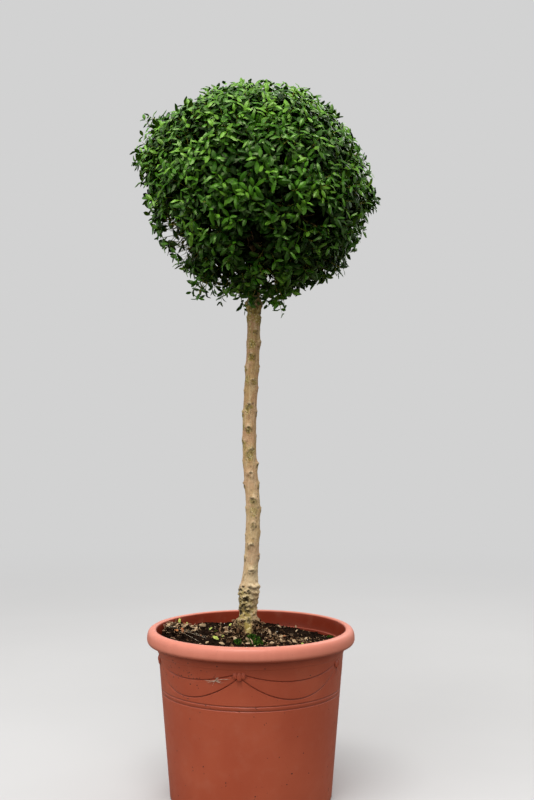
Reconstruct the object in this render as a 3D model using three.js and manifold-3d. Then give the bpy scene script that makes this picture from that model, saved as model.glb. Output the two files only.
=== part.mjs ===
// A clipped box ball on a bare stem, planted in a round plastic pot with rings and knots in relief.
// Units are millimetres and +Z is up. The origin is the centre of the pot's flat underside.
//
// The stem stands on the soil and runs up into the crown as its leader. Eight boughs spring from
// it, and each of them carries one mass of foliage; the leader carries the top one. A mass keeps
// to its own cell of the ball: a cone from the ball's centre between its neighbours. It has a
// stem, twigs that fork from the stem, sprigs that fork from the twigs with leaves in opposite
// pairs, and a core for the dense growth inside.

import * as THREE from "three";
import { mergeVertices } from "three/addons/utils/BufferGeometryUtils.js";
import Module from "manifold-3d";

const wasm = await Module();
wasm.setup();

const { lerp, degToRad, smoothstep } = THREE.MathUtils;

// ---- driving dimensions -------------------------------------------------------------------

const GAP = 0.3; // clearance between pieces that touch
const TURN = 2 * Math.PI;
const GOLDEN_ANGLE = Math.PI * (3 - Math.sqrt(5));

const pot = {
  height: 325,
  footRadius: 155.5, // outside, at the ground
  shoulderRadius: 179.5, // outside, just under the rim
  footBevel: 4,
  wall: 3.2,
  floor: 5,
  facets: 48,
  drainHoles: 6,
  drainRadius: 7,
  drainCircle: 112,
};
const rim = { radius: 200, height: 27, innerRadius: 184 };
const collar = { height: 17, proud: 1.2 }; // plain band under the rim
const ledge = { drop: 31, step: 2.6 }; // shoulder inside the pot, below the rim's top
const rings = { heights: [206, 214.5], width: 2.4, depth: 1 };
const reliefKnots = {
  count: 5,
  firstAngle: degToRad(-96), // about +Z from +X
  height: 274,
  lobeRadius: 5,
  flatness: 0.4,
  proud: 1.1,
};

const soil = {
  level: 300, // at the pot's axis, without the mound
  slope: -0.055, // the surface falls towards +X
  shoulder: 14, // from the level to the highest ring that touches the wall
  moundHeight: 19,
  moundRadius: 52,
  clods: 1.7,
  padMargin: 8, // of the flat pad round the stem's foot
  padBlend: 22,
  ringShares: [1, 0.84, 0.66, 0.5, 0.36, 0.22, 0],
  facets: 32,
  seed: 11,
};

const stem = {
  // Centre line from the soil to the leader's tip: x, y, z.
  line: [
    [-5, 2, 316],
    [-5, 1, 380],
    [2, -1, 480],
    [4, -2, 560],
    [-2, 0, 645],
    [-3, 2, 705],
    [0, 2, 785],
    [4, 0, 870],
    [6, -1, 950],
    [9, 0, 1060],
    [8, 0, 1262],
  ],
  lowRadius: 14,
  highRadius: 12.2, // just under the crown
  tipRadius: 4.5,
  crownStart: 950,
  collarSwell: 3.6, // the pruned ring where the crown starts
  collarWidth: 9,
  footSwell: 5.2, // the burr above the soil
  footSwellHeight: 392,
  footSwellWidth: 26,
  flare: 11,
  flareLobes: 5,
  flareHeight: 16,
  sides: 9,
  steps: 60,
};
const burls = {
  // The two knobs of the root crown, left and right of the foot.
  width: 11,
  list: [
    { angle: degToRad(197), z: 331, proud: 14 },
    { angle: degToRad(-18), z: 334, proud: 7.5 },
  ],
};
const knots = { first: 436, last: 944, spacing: 23, width: 7.5, least: 1, most: 4, seed: 5 };

const ball = {
  centre: new THREE.Vector3(11, 0, 1176),
  radius: 226, // to the leaf tips, level
  up: 201,
  down: 220,
  lean: 0.13, // its sides reach further to -X above the middle, and to +X below
  squareness: 2.05, // 2 is an ellipsoid, and more is fuller between its axes
  lumps: 0.018,
};
const core = {
  // The outer and inner surfaces, as shares of the reach.
  outer: 0.79,
  inner: 0.45,
  underside: 0.08, // how much less it reaches straight down, where the growth is loose
  outerDetail: 3,
  innerDetail: 1,
};
const funnel = [
  // The space round the stem and the low boughs, which the cores are cut clear of: radius, z.
  [30, 930],
  [34, 1015],
  [98, 1145],
];

const boughs = {
  tipRadius: 3.4,
  tipShare: 0.35, // where they end, as a share of the reach
  sides: 5,
  steps: 4,
  bow: 0.14, // how far the limb bends outwards, as a share of its length
};
const tiers = [
  // The middles of the masses' cells, and where on the stem their boughs start.
  { name: "crown_top", count: 1, polar: 0, turn: 0 },
  {
    name: "crown_upper",
    count: 4,
    polar: 64,
    turn: 22,
    bough: { firstHeight: 1072, rise: 11, rootRadius: 5 },
  },
  {
    name: "crown_lower",
    count: 4,
    polar: 120,
    turn: 67,
    bough: { firstHeight: 1022, rise: 10, rootRadius: 5.4 },
  },
];

const growth = {
  twigs: 44,
  sprigs: 91,
  forkShare: 0.55, // where twigs fork into sprigs, as a share of the reach
  stemShare: 0.5, // where a mass's stem forks into twigs
  nudge: 0.9, // of evenly spread directions, as a share of their spacing
  tipSpace: 0.98, // from a sprig's tip to the reach, in lengths of a leaf
  twigRadius: 2.6,
  sprigRadius: 2.2,
  seed: 21,
};
const leaf = {
  length: 44,
  width: 24,
  widest: 0.45, // of the length
  thickness: 1.5,
  arch: 3, // rise of the midrib over the margins
  spreads: [56, 42, 70, 30].map(degToRad), // from the sprig's line, tried in turn
  pairs: [17, 2], // from the sprig's tip
  tipLeans: [7, 25].map(degToRad), // the same for the leaf at the sprig's tip
};
const strays = [
  // Shoots that the shears have missed: direction from the ball's centre, extra reach.
  { towards: [-0.97, -0.1, 0.2], extra: 21 },
  { towards: [-0.84, -0.05, 0.54], extra: 12 },
  { towards: [0.99, -0.1, -0.09], extra: 14 },
  { towards: [0.21, -0.1, -0.97], extra: 28 },
  { towards: [-0.43, -0.15, -0.89], extra: 17 },
  { towards: [0.72, 0.1, -0.69], extra: 8 },
];

const finishes = {
  pot: new THREE.MeshStandardMaterial({ color: 0x9e5240, roughness: 0.5, metalness: 0 }),
  soil: new THREE.MeshStandardMaterial({ color: 0x33241b, roughness: 0.95, metalness: 0 }),
  bark: new THREE.MeshStandardMaterial({ color: 0xaa8d6a, roughness: 0.85, metalness: 0 }),
  foliage: new THREE.MeshStandardMaterial({ color: 0x2c5a1c, roughness: 0.4, metalness: 0 }),
};

// ---- small tools --------------------------------------------------------------------------

/** Numbers from 0 to 1 that are the same in every run. */
function seeded(seed) {
  let state = seed;
  return () => {
    state = (state * 48271) % 2147483647;
    return state / 2147483647;
  };
}

const bell = (value, width) => Math.exp(-((value / width) ** 2));

/** A closed geometry as a solid that can be joined and cut. */
function solidOf(geometry) {
  const bare = geometry.clone();
  bare.deleteAttribute("normal");
  bare.deleteAttribute("uv");
  const merged = mergeVertices(bare, 1e-3);
  return new wasm.Manifold(
    new wasm.Mesh({
      numProp: 3,
      vertProperties: merged.attributes.position.array,
      triVerts: new Uint32Array(merged.index.array),
    }),
  );
}

/** The largest body of a solid: loose scraps are dropped and sealed hollows are filled. */
function largestBody(solid) {
  return solid.decompose().reduce((best, body) => (body.volume() > best.volume() ? body : best));
}

function geometryOf(solid) {
  const made = solid.getMesh();
  const geometry = new THREE.BufferGeometry();
  geometry.setAttribute("position", new THREE.BufferAttribute(made.vertProperties, 3));
  geometry.setIndex(new THREE.BufferAttribute(made.triVerts, 1));
  geometry.computeVertexNormals();
  return geometry;
}

/** A closed body through rings of points, all with the same number of sides, and flat ends. */
function loft(ringList) {
  const sides = ringList[0].length;
  const points = ringList.flat();
  const middles = [ringList[0], ringList.at(-1)].map((ring) =>
    ring.reduce((sum, point) => sum.add(point), new THREE.Vector3()).divideScalar(sides),
  );
  const first = points.length;
  const last = first - sides;
  const faces = [];
  for (let row = 0; row < last; row += sides)
    for (let side = 0; side < sides; side++) {
      const a = row + side;
      const b = row + ((side + 1) % sides);
      faces.push(a, b, b + sides, a, b + sides, a + sides);
    }
  for (let side = 0; side < sides; side++) {
    const next = (side + 1) % sides;
    faces.push(first, next, side, first + 1, last + side, last + next);
  }
  return new THREE.BufferGeometry().setFromPoints([...points, ...middles]).setIndex(faces);
}

/** A limb along a curve, its radius running evenly from one end's to the other's. */
function limb(curve, sides, steps, fromRadius, toRadius) {
  const frames = curve.computeFrenetFrames(steps, false);
  const ringList = Array.from({ length: steps + 1 }, (_, step) => {
    const middle = curve.getPointAt(step / steps);
    const radius = lerp(fromRadius, toRadius, step / steps);
    return Array.from({ length: sides }, (_, side) => {
      const angle = (side / sides) * TURN;
      return middle
        .clone()
        .addScaledVector(frames.normals[step], Math.cos(angle) * radius)
        .addScaledVector(frames.binormals[step], Math.sin(angle) * radius);
    });
  });
  return loft(ringList);
}

/** A straight three-sided twig. */
const twig = (from, to, fromRadius, toRadius) =>
  limb(new THREE.LineCurve3(from, to), 3, 1, fromRadius, toRadius);

/** A profile of [radius, z] turned round the Z axis. */
function turned(profile, facets) {
  const points = profile.map(([radius, z]) => new THREE.Vector2(radius, z));
  return new THREE.LatheGeometry(points, facets).rotateX(Math.PI / 2);
}

function mesh(name, geometry, material) {
  const made = new THREE.Mesh(geometry, material);
  made.name = name;
  return made;
}

// ---- pot ----------------------------------------------------------------------------------

const rimBottom = pot.height - rim.height;

/** The body's outside radius at a height, without rings, collar and rim. */
const potRadius = (z) => lerp(pot.footRadius, pot.shoulderRadius, z / rimBottom);

function potProfile() {
  const collarBottom = rimBottom - collar.height;
  const ledgeZ = pot.height - ledge.drop;
  const ringGrooves = rings.heights.flatMap((z) => [
    [potRadius(z), z - rings.width / 2],
    [potRadius(z) - rings.depth, z],
    [potRadius(z), z + rings.width / 2],
  ]);
  const rolledRim = [
    [potRadius(rimBottom) + collar.proud, rimBottom],
    [rim.radius - 4, rimBottom],
    [rim.radius, rimBottom + 7],
    [rim.radius - 1.6, rimBottom + 18],
    [rim.radius - 7, pot.height - 2],
    [rim.innerRadius, pot.height],
    [rim.innerRadius - 2, pot.height - 3.5],
  ];
  return [
    [0, 0],
    [pot.footRadius - pot.footBevel, 0],
    [potRadius(pot.footBevel), pot.footBevel],
    ...ringGrooves,
    [potRadius(collarBottom), collarBottom],
    [potRadius(collarBottom) + collar.proud, collarBottom + 1.5],
    ...rolledRim,
    [potRadius(ledgeZ) - pot.wall + ledge.step, ledgeZ + 2.5],
    [potRadius(ledgeZ) - pot.wall, ledgeZ],
    [potRadius(pot.floor) - pot.wall, pot.floor],
    [0, pot.floor],
  ];
}

/** A point on the pot's outside at an angle and a height. */
function onPot(angle, z, proud = 0) {
  const radius = potRadius(z) + proud;
  return new THREE.Vector3(Math.cos(angle) * radius, Math.sin(angle) * radius, z);
}

/** A three-lobed knot that stands proud of the wall. */
function reliefKnot(angle) {
  const { lobeRadius, flatness, height, proud } = reliefKnots;
  const lobe = new THREE.SphereGeometry(lobeRadius, 5, 3).scale(flatness, 1, 1);
  const lobes = [-1, 0, 1].map((side) => {
    const across = angle + (side * lobeRadius) / potRadius(height);
    const z = height - (side === 0 ? 0.8 * lobeRadius : 0);
    const middle = onPot(across, z, proud - lobeRadius * flatness);
    return solidOf(lobe.clone().rotateZ(across).translate(middle.x, middle.y, middle.z));
  });
  return lobes.reduce((whole, piece) => whole.add(piece));
}

function makePot() {
  let body = solidOf(turned(potProfile(), pot.facets));
  for (let hole = 0; hole < pot.drainHoles; hole++) {
    const angle = (hole / pot.drainHoles) * TURN;
    const drill = new THREE.CylinderGeometry(pot.drainRadius, pot.drainRadius, 4 * pot.floor, 8);
    drill.rotateX(Math.PI / 2);
    drill.translate(Math.cos(angle) * pot.drainCircle, Math.sin(angle) * pot.drainCircle, 0);
    body = body.subtract(solidOf(drill));
  }
  for (let knot = 0; knot < reliefKnots.count; knot++)
    body = body.add(reliefKnot(reliefKnots.firstAngle + (knot / reliefKnots.count) * TURN));
  return geometryOf(largestBody(body));
}

// ---- soil ---------------------------------------------------------------------------------

const stemFoot = new THREE.Vector3(...stem.line[0]);
const padLevel = stemFoot.z - GAP;

/** The soil's surface: a slope, a mound round the stem with a flat pad, and clods. */
function soilHeight(x, y) {
  const away = Math.hypot(x - stemFoot.x, y - stemFoot.y);
  const clods =
    Math.sin(x / 11 + soil.seed) * Math.cos(y / 13) + Math.sin((x + y) / 23 + soil.seed / 2);
  const mound = soil.moundHeight * bell(away, soil.moundRadius);
  const open = soil.level + soil.slope * (x - stemFoot.x) + mound + soil.clods * clods;
  const padRadius = stem.lowRadius + stem.flare + soil.padMargin;
  return lerp(padLevel, open, smoothstep(away, padRadius, padRadius + soil.padBlend));
}

function makeSoil() {
  const inside = (z) => potRadius(z) - pot.wall - 2 * GAP;
  const bottom = pot.floor + GAP;
  const shoulderZ = soil.level - soil.shoulder;
  const profile = [
    [0, bottom],
    [inside(bottom), bottom],
    [inside(shoulderZ), shoulderZ],
    ...soil.ringShares.map((share) => [share * inside(shoulderZ), soil.level]),
  ];
  const geometry = turned(profile, soil.facets);
  const place = geometry.attributes.position;
  for (let i = 0; i < place.count; i++)
    if (place.getZ(i) > shoulderZ + 1) place.setZ(i, soilHeight(place.getX(i), place.getY(i)));
  return geometry;
}

// ---- stem ---------------------------------------------------------------------------------

const stemCurve = new THREE.CatmullRomCurve3(stem.line.map((at) => new THREE.Vector3(...at)));
const leaderTip = new THREE.Vector3(...stem.line.at(-1));

/** Pruned stubs in opposite pairs, each pair a quarter turn on from the one below. */
function stubList() {
  const random = seeded(knots.seed);
  const list = [];
  let quarter = 0;
  for (let z = knots.first; z <= knots.last; z += knots.spacing) {
    quarter += TURN / 4;
    for (const half of [0, TURN / 2])
      list.push({
        z: z + (random() - 0.5) * knots.width,
        angle: quarter + half + (random() - 0.5) * 0.5,
        proud: lerp(knots.least, knots.most, random() ** 1.5),
      });
  }
  return list;
}
const stubs = stubList();

/** How far a knob of a given width swells the stem at a height and angle. */
function knobSwell(knob, width, z, angle) {
  const turnedBy = Math.atan2(Math.sin(angle - knob.angle), Math.cos(angle - knob.angle));
  return knob.proud * bell(z - knob.z, width) * bell(turnedBy * stem.lowRadius, width);
}

/** How far the stem's surface swells at a height and angle. */
function stemSwell(z, angle) {
  const lobes = 0.7 + 0.3 * Math.cos(stem.flareLobes * angle + 1);
  const flare = stem.flare * Math.exp((stemFoot.z - z) / stem.flareHeight) * lobes;
  const burr = stem.footSwell * bell(z - stem.footSwellHeight, stem.footSwellWidth);
  const pruned = stem.collarSwell * bell(z - stem.crownStart, stem.collarWidth);
  const knobs = (list, width) =>
    list.reduce((swell, knob) => swell + knobSwell(knob, width, z, angle), 0);
  return flare + burr + pruned + knobs(stubs, knots.width) + knobs(burls.list, burls.width);
}

function stemRadius(z, angle) {
  const bare = (z - stemFoot.z) / (stem.crownStart - stemFoot.z);
  const leader = Math.max(0, (z - stem.crownStart) / (leaderTip.z - stem.crownStart));
  const taper =
    bare < 1
      ? lerp(stem.lowRadius, stem.highRadius, bare)
      : lerp(stem.highRadius, stem.tipRadius, leader ** 0.6);
  return taper + stemSwell(z, angle);
}

/** The stem on level rings, its surface moved out by grow to cut other pieces clear of it. */
function makeStem(grow = 0) {
  const ringList = Array.from({ length: stem.steps + 1 }, (_, step) => {
    const middle = stemCurve.getPoint(step / stem.steps);
    return Array.from({ length: stem.sides }, (_, side) => {
      const angle = (side / stem.sides) * TURN;
      const radius = stemRadius(middle.z, angle) + grow;
      return new THREE.Vector3(Math.cos(angle) * radius, Math.sin(angle) * radius, 0).add(middle);
    });
  });
  return loft(ringList);
}

// ---- crown --------------------------------------------------------------------------------

/** A unit vector at an angle from +Z and round it from +X, both in degrees. */
function aim(polar, around) {
  const level = Math.sin(degToRad(polar));
  const turn = degToRad(around);
  return new THREE.Vector3(level * Math.cos(turn), level * Math.sin(turn), Math.cos(degToRad(polar)));
}

/** How far the leaf tips reach from the ball's centre in a direction. */
function reach({ x, y, z }) {
  const aside = Math.hypot(x, y);
  const level = aside / ball.radius;
  const upright = Math.abs(z) / (z > 0 ? ball.up : ball.down);
  const smooth = (level ** ball.squareness + upright ** ball.squareness) ** (-1 / ball.squareness);
  const lumps = Math.sin(5 * x + 1) * Math.sin(4 * y + 2) * Math.cos(6 * z);
  const lean = x * z * aside ** 4;
  return smooth * (1 - ball.lumps * lumps - ball.lean * lean);
}

const fromCentre = (towards, share) =>
  ball.centre.clone().addScaledVector(towards, reach(towards) * share);

/** The line of the bough that carries a mass, from the stem to its tip. */
function boughLine(axis, { firstHeight, rise }, index) {
  const rootHeight = firstHeight + rise * index;
  const root = stemCurve.getPointAt((rootHeight - stemFoot.z) / (leaderTip.z - stemFoot.z));
  const tip = fromCentre(axis, boughs.tipShare);
  const level = new THREE.Vector3(axis.x, axis.y, 0).normalize();
  const bend = root.clone().lerp(tip, 0.5).addScaledVector(level, boughs.bow * tip.distanceTo(root));
  return new THREE.QuadraticBezierCurve3(root, bend, tip);
}

const boughSolid = (line, rootRadius, tipRadius) =>
  solidOf(limb(line, boughs.sides, boughs.steps, rootRadius, tipRadius));

/** One tapering bough from the stem to its mass, cut clear of the stem. */
function makeBough({ line, rootRadius }) {
  const stemSpace = solidOf(makeStem(GAP));
  return geometryOf(largestBody(boughSolid(line, rootRadius, boughs.tipRadius).subtract(stemSpace)));
}

/** Every mass: its name, the middle of its cell, and the limb that carries it up to its stem. */
const masses = tiers.flatMap((tier) =>
  Array.from({ length: tier.count }, (_, index) => {
    const axis = aim(tier.polar, tier.turn + (index * 360) / tier.count);
    if (!tier.bough) return { name: tier.name, axis, carried: leaderTip, heading: axis };
    const line = boughLine(axis, tier.bough, index);
    const name = `${tier.name}_${index + 1}`;
    const { rootRadius } = tier.bough;
    return { name, axis, line, rootRadius, carried: line.v2, heading: line.getTangent(1) };
  }),
);

/** The directions from a mass's neighbours to it, each square to the wall between the two. */
const wallsOf = (mass) =>
  masses.filter((other) => other !== mass).map((other) => mass.axis.clone().sub(other.axis).normalize());

/** How far a point lies inside a mass's cell. */
function cellDepth(mass, point) {
  const from = point.clone().sub(ball.centre);
  return Math.min(...wallsOf(mass).map((wall) => from.dot(wall)));
}

const nearest = (list, towards) =>
  list.reduce((best, item) => (item.axis.dot(towards) > best.axis.dot(towards) ? item : best));

/** A ball-shaped body whose surface lies at a share of the reach, and at less on its underside. */
function ballSolid(share, detail, underside) {
  const geometry = new THREE.IcosahedronGeometry(1, detail);
  const place = geometry.attributes.position;
  const towards = new THREE.Vector3();
  for (let i = 0; i < place.count; i++) {
    towards.fromBufferAttribute(place, i).normalize();
    const at = fromCentre(towards, share - underside * Math.max(0, -towards.z));
    place.setXYZ(i, at.x, at.y, at.z);
  }
  return solidOf(geometry);
}

/** The dense growth of the whole ball, hollow inside and open round the stem. */
function makeShell() {
  const profile = [[0, funnel[0][1]], ...funnel, [0, funnel.at(-1)[1]]];
  const opening = turned(profile, 14).translate(ball.centre.x, 0, 0);
  return ballSolid(core.outer, core.outerDetail, core.underside)
    .subtract(ballSolid(core.inner, core.innerDetail, 0))
    .subtract(solidOf(opening));
}
const shell = makeShell();

/** All space on the side of a wall that it faces, half a GAP clear of it. */
function halfSpace(wall) {
  const size = 4 * ball.radius;
  const block = new THREE.BoxGeometry(size, size, size).translate(0, 0, (size + GAP) / 2);
  block.applyQuaternion(new THREE.Quaternion().setFromUnitVectors(new THREE.Vector3(0, 0, 1), wall));
  return solidOf(block.translate(...ball.centre));
}

/** The mass's own part of the shell. */
const makeCore = (mass) =>
  wallsOf(mass).reduce((part, wall) => part.intersect(halfSpace(wall)), shell);

/** Directions spread evenly over the ball, each moved a little by the seeded rule. */
function spreadEvenly(count, random) {
  return Array.from({ length: count }, (_, i) => {
    const z = 1 - (2 * i + 1) / count;
    const level = Math.sqrt(1 - z * z);
    const around = i * GOLDEN_ANGLE;
    const towards = new THREE.Vector3(level * Math.cos(around), level * Math.sin(around), z);
    const nudge = new THREE.Vector3(random() - 0.5, random() - 0.5, random() - 0.5);
    return towards.addScaledVector(nudge, growth.nudge / Math.sqrt(count)).normalize();
  });
}

/** An eight-faced leaf with its root at the origin, along +Y, its upper side towards +Z. */
function leafShape() {
  const wide = leaf.widest * leaf.length;
  const points = [
    [0, 0, 0],
    [-leaf.width / 2, wide, 0],
    [0, leaf.length, -leaf.arch / 2],
    [leaf.width / 2, wide, 0],
    [0, wide, leaf.arch],
    [0, wide, leaf.arch - leaf.thickness],
  ].map((at) => new THREE.Vector3(...at));
  const faces = [];
  for (let side = 0; side < 4; side++) {
    const next = (side + 1) % 4;
    faces.push(next, side, 4, side, next, 5);
  }
  return new THREE.BufferGeometry().setFromPoints(points).setIndex(faces);
}

/** A leaf that grows from a point of a sprig and leans away from its line towards side. */
function placeLeaf(at, along, side, spread) {
  const blade = along.clone().multiplyScalar(Math.cos(spread)).addScaledVector(side, Math.sin(spread));
  const upper = along.clone().multiplyScalar(Math.sin(spread)).addScaledVector(side, -Math.cos(spread));
  const across = blade.clone().cross(upper);
  const geometry = leafShape().applyMatrix4(
    new THREE.Matrix4().makeBasis(across, blade, upper).setPosition(at),
  );
  const middle = at.clone().addScaledVector(blade, leaf.widest * leaf.length);
  return { geometry, middle, solid: solidOf(geometry) };
}

/** The space of the stem and all boughs, GAP clear of them. */
const limbSpace = masses
  .filter((mass) => mass.line)
  .map(({ line, rootRadius }) => boughSolid(line, rootRadius + GAP, boughs.tipRadius + GAP))
  .reduce((space, solid) => space.add(solid), solidOf(makeStem(GAP)));

const touchesLimb = (solid) => !solid.intersect(limbSpace).isEmpty();

/** Whether every corner of a leaf but its root keeps to its mass's space. */
function keepsToItsSpace(placed, mass, extra) {
  const corners = placed.geometry.attributes.position;
  const at = new THREE.Vector3();
  for (let i = 1; i < corners.count; i++) {
    at.fromBufferAttribute(corners, i);
    const from = at.clone().sub(ball.centre);
    if (from.length() > reach(from.clone().normalize()) + extra) return false;
    if (cellDepth(mass, at) < 2 * GAP) return false;
  }
  return !touchesLimb(placed.solid);
}

/** Whether a leaf stays clear of the leaves that have grown on other sprigs. */
const isClear = (placed, grown) =>
  grown.every(
    (other) =>
      other.middle.distanceTo(placed.middle) > leaf.length ||
      other.solid.intersect(placed.solid).isEmpty(),
  );

/** The leaves of one sprig: opposite pairs, each a quarter turn on, and one at its tip. */
function growLeaves(from, to, mass, extra, grown, random) {
  const along = to.clone().sub(from).normalize();
  const side = new THREE.Vector3(random() - 0.5, random() - 0.5, random() - 0.5);
  side.cross(along).normalize();
  const own = [];
  const add = (at, towards, spreads) => {
    const placed = spreads
      .map((spread) => placeLeaf(at, along, towards, spread))
      .find((choice) => keepsToItsSpace(choice, mass, extra) && isClear(choice, grown));
    if (placed) own.push({ ...placed, mass: mass.name });
  };
  const root = (fromTip) => to.clone().addScaledVector(along, -fromTip);
  add(root(growth.sprigRadius), side, leaf.tipLeans);
  for (const fromTip of leaf.pairs) {
    side.applyAxisAngle(along, TURN / 4);
    for (const way of [1, -1]) add(root(fromTip), side.clone().multiplyScalar(way), leaf.spreads);
  }
  grown.push(...own);
}

/** All sprigs and leaves of the crown, each with the name of its mass. */
function growFoliage() {
  const random = seeded(growth.seed);
  const clearance = growth.twigRadius + GAP;
  const grown = [];
  const sprigs = [];
  const twigs = spreadEvenly(growth.twigs, random)
    .map((axis) => {
      const mass = nearest(masses, axis);
      const fork = fromCentre(axis, growth.forkShare);
      const start = fromCentre(mass.axis, growth.stemShare);
      const solid = solidOf(twig(start, fork, growth.twigRadius, growth.twigRadius));
      return { axis, mass, fork, solid };
    })
    .filter(({ mass, fork, solid }) => cellDepth(mass, fork) > clearance && !touchesLimb(solid));
  const ends = spreadEvenly(growth.sprigs, random).map((axis) => ({ axis, extra: 0 }));
  for (const { towards, extra } of strays)
    ends.push({ axis: new THREE.Vector3(...towards).normalize(), extra });
  for (const { axis, extra } of ends) {
    const mass = nearest(masses, axis);
    const { fork } = nearest(twigs.filter((parent) => parent.mass === mass), axis);
    const tip = fromCentre(axis, 1 + (extra - leaf.length * growth.tipSpace) / reach(axis));
    if (cellDepth(mass, tip) < clearance) continue;
    const solid = solidOf(twig(fork, tip, growth.twigRadius, growth.sprigRadius));
    if (touchesLimb(solid)) continue;
    sprigs.push({ mass: mass.name, solid });
    growLeaves(fork, tip, mass, extra, grown, random);
  }
  const inner = twigs.map(({ mass, solid }) => ({ mass: mass.name, solid }));
  return [...inner, ...sprigs, ...grown];
}

/** The short stem that goes on from the mass's limb, GAP clear of it, and ends inside the core. */
function massStem(mass) {
  const start = mass.carried.clone().addScaledVector(mass.heading, GAP);
  const end = fromCentre(mass.axis, growth.stemShare);
  const bend = start.clone().addScaledVector(mass.heading, start.distanceTo(end) / 2);
  const line = new THREE.QuadraticBezierCurve3(start, bend, end);
  return solidOf(limb(line, 3, 2, boughs.tipRadius, growth.twigRadius));
}

function makeMass(mass, foliage) {
  const pieces = foliage.filter((piece) => piece.mass === mass.name).map((piece) => piece.solid);
  return geometryOf(largestBody(wasm.Manifold.union([makeCore(mass), massStem(mass), ...pieces])));
}

// ---- assembly -----------------------------------------------------------------------------

const plant = new THREE.Group();
plant.name = "standard_ball_topiary";
plant.add(mesh("pot", makePot(), finishes.pot));
plant.add(mesh("soil", makeSoil(), finishes.soil));
plant.add(mesh("stem", makeStem(), finishes.bark));

const foliage = growFoliage();
for (const mass of masses) {
  if (mass.line)
    plant.add(mesh(mass.name.replace("crown", "bough"), makeBough(mass), finishes.bark));
  plant.add(mesh(mass.name, makeMass(mass, foliage), finishes.foliage));
}

export default plant;
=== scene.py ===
"""Dresses a clipped box ball on a bare stem, planted in a round plastic pot.

The rules that shape the plant work in millimetres, with +Z up and the origin at the centre of
the pot's flat underside. Meshes are made in metres in that same frame, with objects at the
origin. The front is towards -Y.
"""

import logging
import math
from contextlib import contextmanager
from dataclasses import dataclass, field
from enum import Enum
from typing import Any, Callable, Iterator, Sequence

import bmesh
import bpy
import numpy as np
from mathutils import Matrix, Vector, noise
from numpy.linalg import norm


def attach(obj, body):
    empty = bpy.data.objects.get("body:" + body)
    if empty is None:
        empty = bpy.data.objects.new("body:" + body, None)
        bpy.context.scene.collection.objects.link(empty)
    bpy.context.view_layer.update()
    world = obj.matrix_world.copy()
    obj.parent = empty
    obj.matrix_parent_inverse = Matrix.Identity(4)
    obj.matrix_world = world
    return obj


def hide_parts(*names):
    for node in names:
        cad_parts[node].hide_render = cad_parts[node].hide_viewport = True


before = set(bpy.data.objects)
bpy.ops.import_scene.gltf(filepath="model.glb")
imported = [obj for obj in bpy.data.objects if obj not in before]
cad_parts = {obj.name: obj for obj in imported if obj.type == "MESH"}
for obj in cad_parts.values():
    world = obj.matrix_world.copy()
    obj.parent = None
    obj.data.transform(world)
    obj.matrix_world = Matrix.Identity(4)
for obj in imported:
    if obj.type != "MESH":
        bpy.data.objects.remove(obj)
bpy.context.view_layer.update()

LOG = logging.getLogger("ball_topiary")

MM = 0.001
GAP = 0.3
FLAT = 1e-7
MARKS = "marks"
TURN = 2 * math.pi
GOLDEN_ANGLE = math.pi * (3 - math.sqrt(5))
UP = np.array([0.0, 0.0, 1.0])

Array = np.ndarray
Piece = bpy.types.Object
Material = bpy.types.Material
Socket = bpy.types.NodeSocket
Value = float | tuple | Socket
Colour = tuple[int, int, int]
Random = np.random.Generator
Point = tuple[float, float, float]
Pair = tuple[float, float]


# ---- small tools ----


@dataclass
class Seeded:
    """The plant's own row of numbers from 0 to 1, the same in every run."""

    state: int

    def __call__(self) -> float:
        """The next number."""
        self.state = self.state * 48271 % 2147483647
        return self.state / 2147483647


def lerp(a: Any, b: Any, share: Any) -> Any:
    """The number or array at a share of the way from a to b."""
    return a + (b - a) * share


def bell(value: Array, width: float) -> Array:
    """A smooth bump of height 1 at 0."""
    return np.exp(-((value / width) ** 2))


def smoothstep(value: Array, low: float, high: float) -> Array:
    """0 below low, 1 above high, and smooth between them."""
    share = np.clip((value - low) / (high - low), 0, 1)
    return share * share * (3 - 2 * share)


def unit(vectors: Array) -> Array:
    """The vectors at length 1."""
    return vectors / np.maximum(norm(vectors, axis=-1, keepdims=True), 1e-9)


def aim(polar: float, around: float) -> Array:
    """A unit vector at an angle from +Z and round it from +X, both in degrees."""
    down, turn = math.radians(polar), math.radians(around)
    return np.array([math.sin(down) * math.cos(turn), math.sin(down) * math.sin(turn), math.cos(down)])


def bezier(control: Array, share: Array) -> Array:
    """Points at shares of quadratic Bezier curves, shape (curves, shares, 3)."""
    t = share[None, :, None]
    a, b, c = (control[:, None, i] for i in range(3))
    return (1 - t) ** 2 * a + 2 * t * (1 - t) * b + t * t * c


def follow(lines: Array, share: Array) -> tuple[Array, Array]:
    """One point on each quadratic Bezier curve, at its own share, and the heading there."""
    t, (a, b, c) = share[:, None], (lines[:, i] for i in range(3))
    return (1 - t) ** 2 * a + 2 * t * (1 - t) * b + t * t * c, unit((b - a) * (1 - t) + (c - b) * t)


def rough(points: Array, scale: float, octaves: int = 3) -> Array:
    """Fractal noise, about -1 to 1."""
    return np.array([noise.fractal(Vector(p / scale), 1.0, 2.0, octaves) for p in points])


# ---- modelling bench ----


def activate(piece: Piece) -> None:
    """Select a piece alone and make it the active one."""
    bpy.ops.object.select_all(action="DESELECT")
    piece.select_set(True)
    bpy.context.view_layer.objects.active = piece


@contextmanager
def editing(piece: Piece) -> Iterator[None]:
    """Keep the piece in edit mode, with all of it selected at first.

    Args:
        piece: The piece to edit.

    Yields:
        Nothing, while the piece is in edit mode.
    """
    activate(piece)
    bpy.ops.object.mode_set(mode="EDIT")
    bpy.ops.mesh.select_all(action="SELECT")
    yield
    bpy.ops.object.mode_set(mode="OBJECT")


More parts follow.
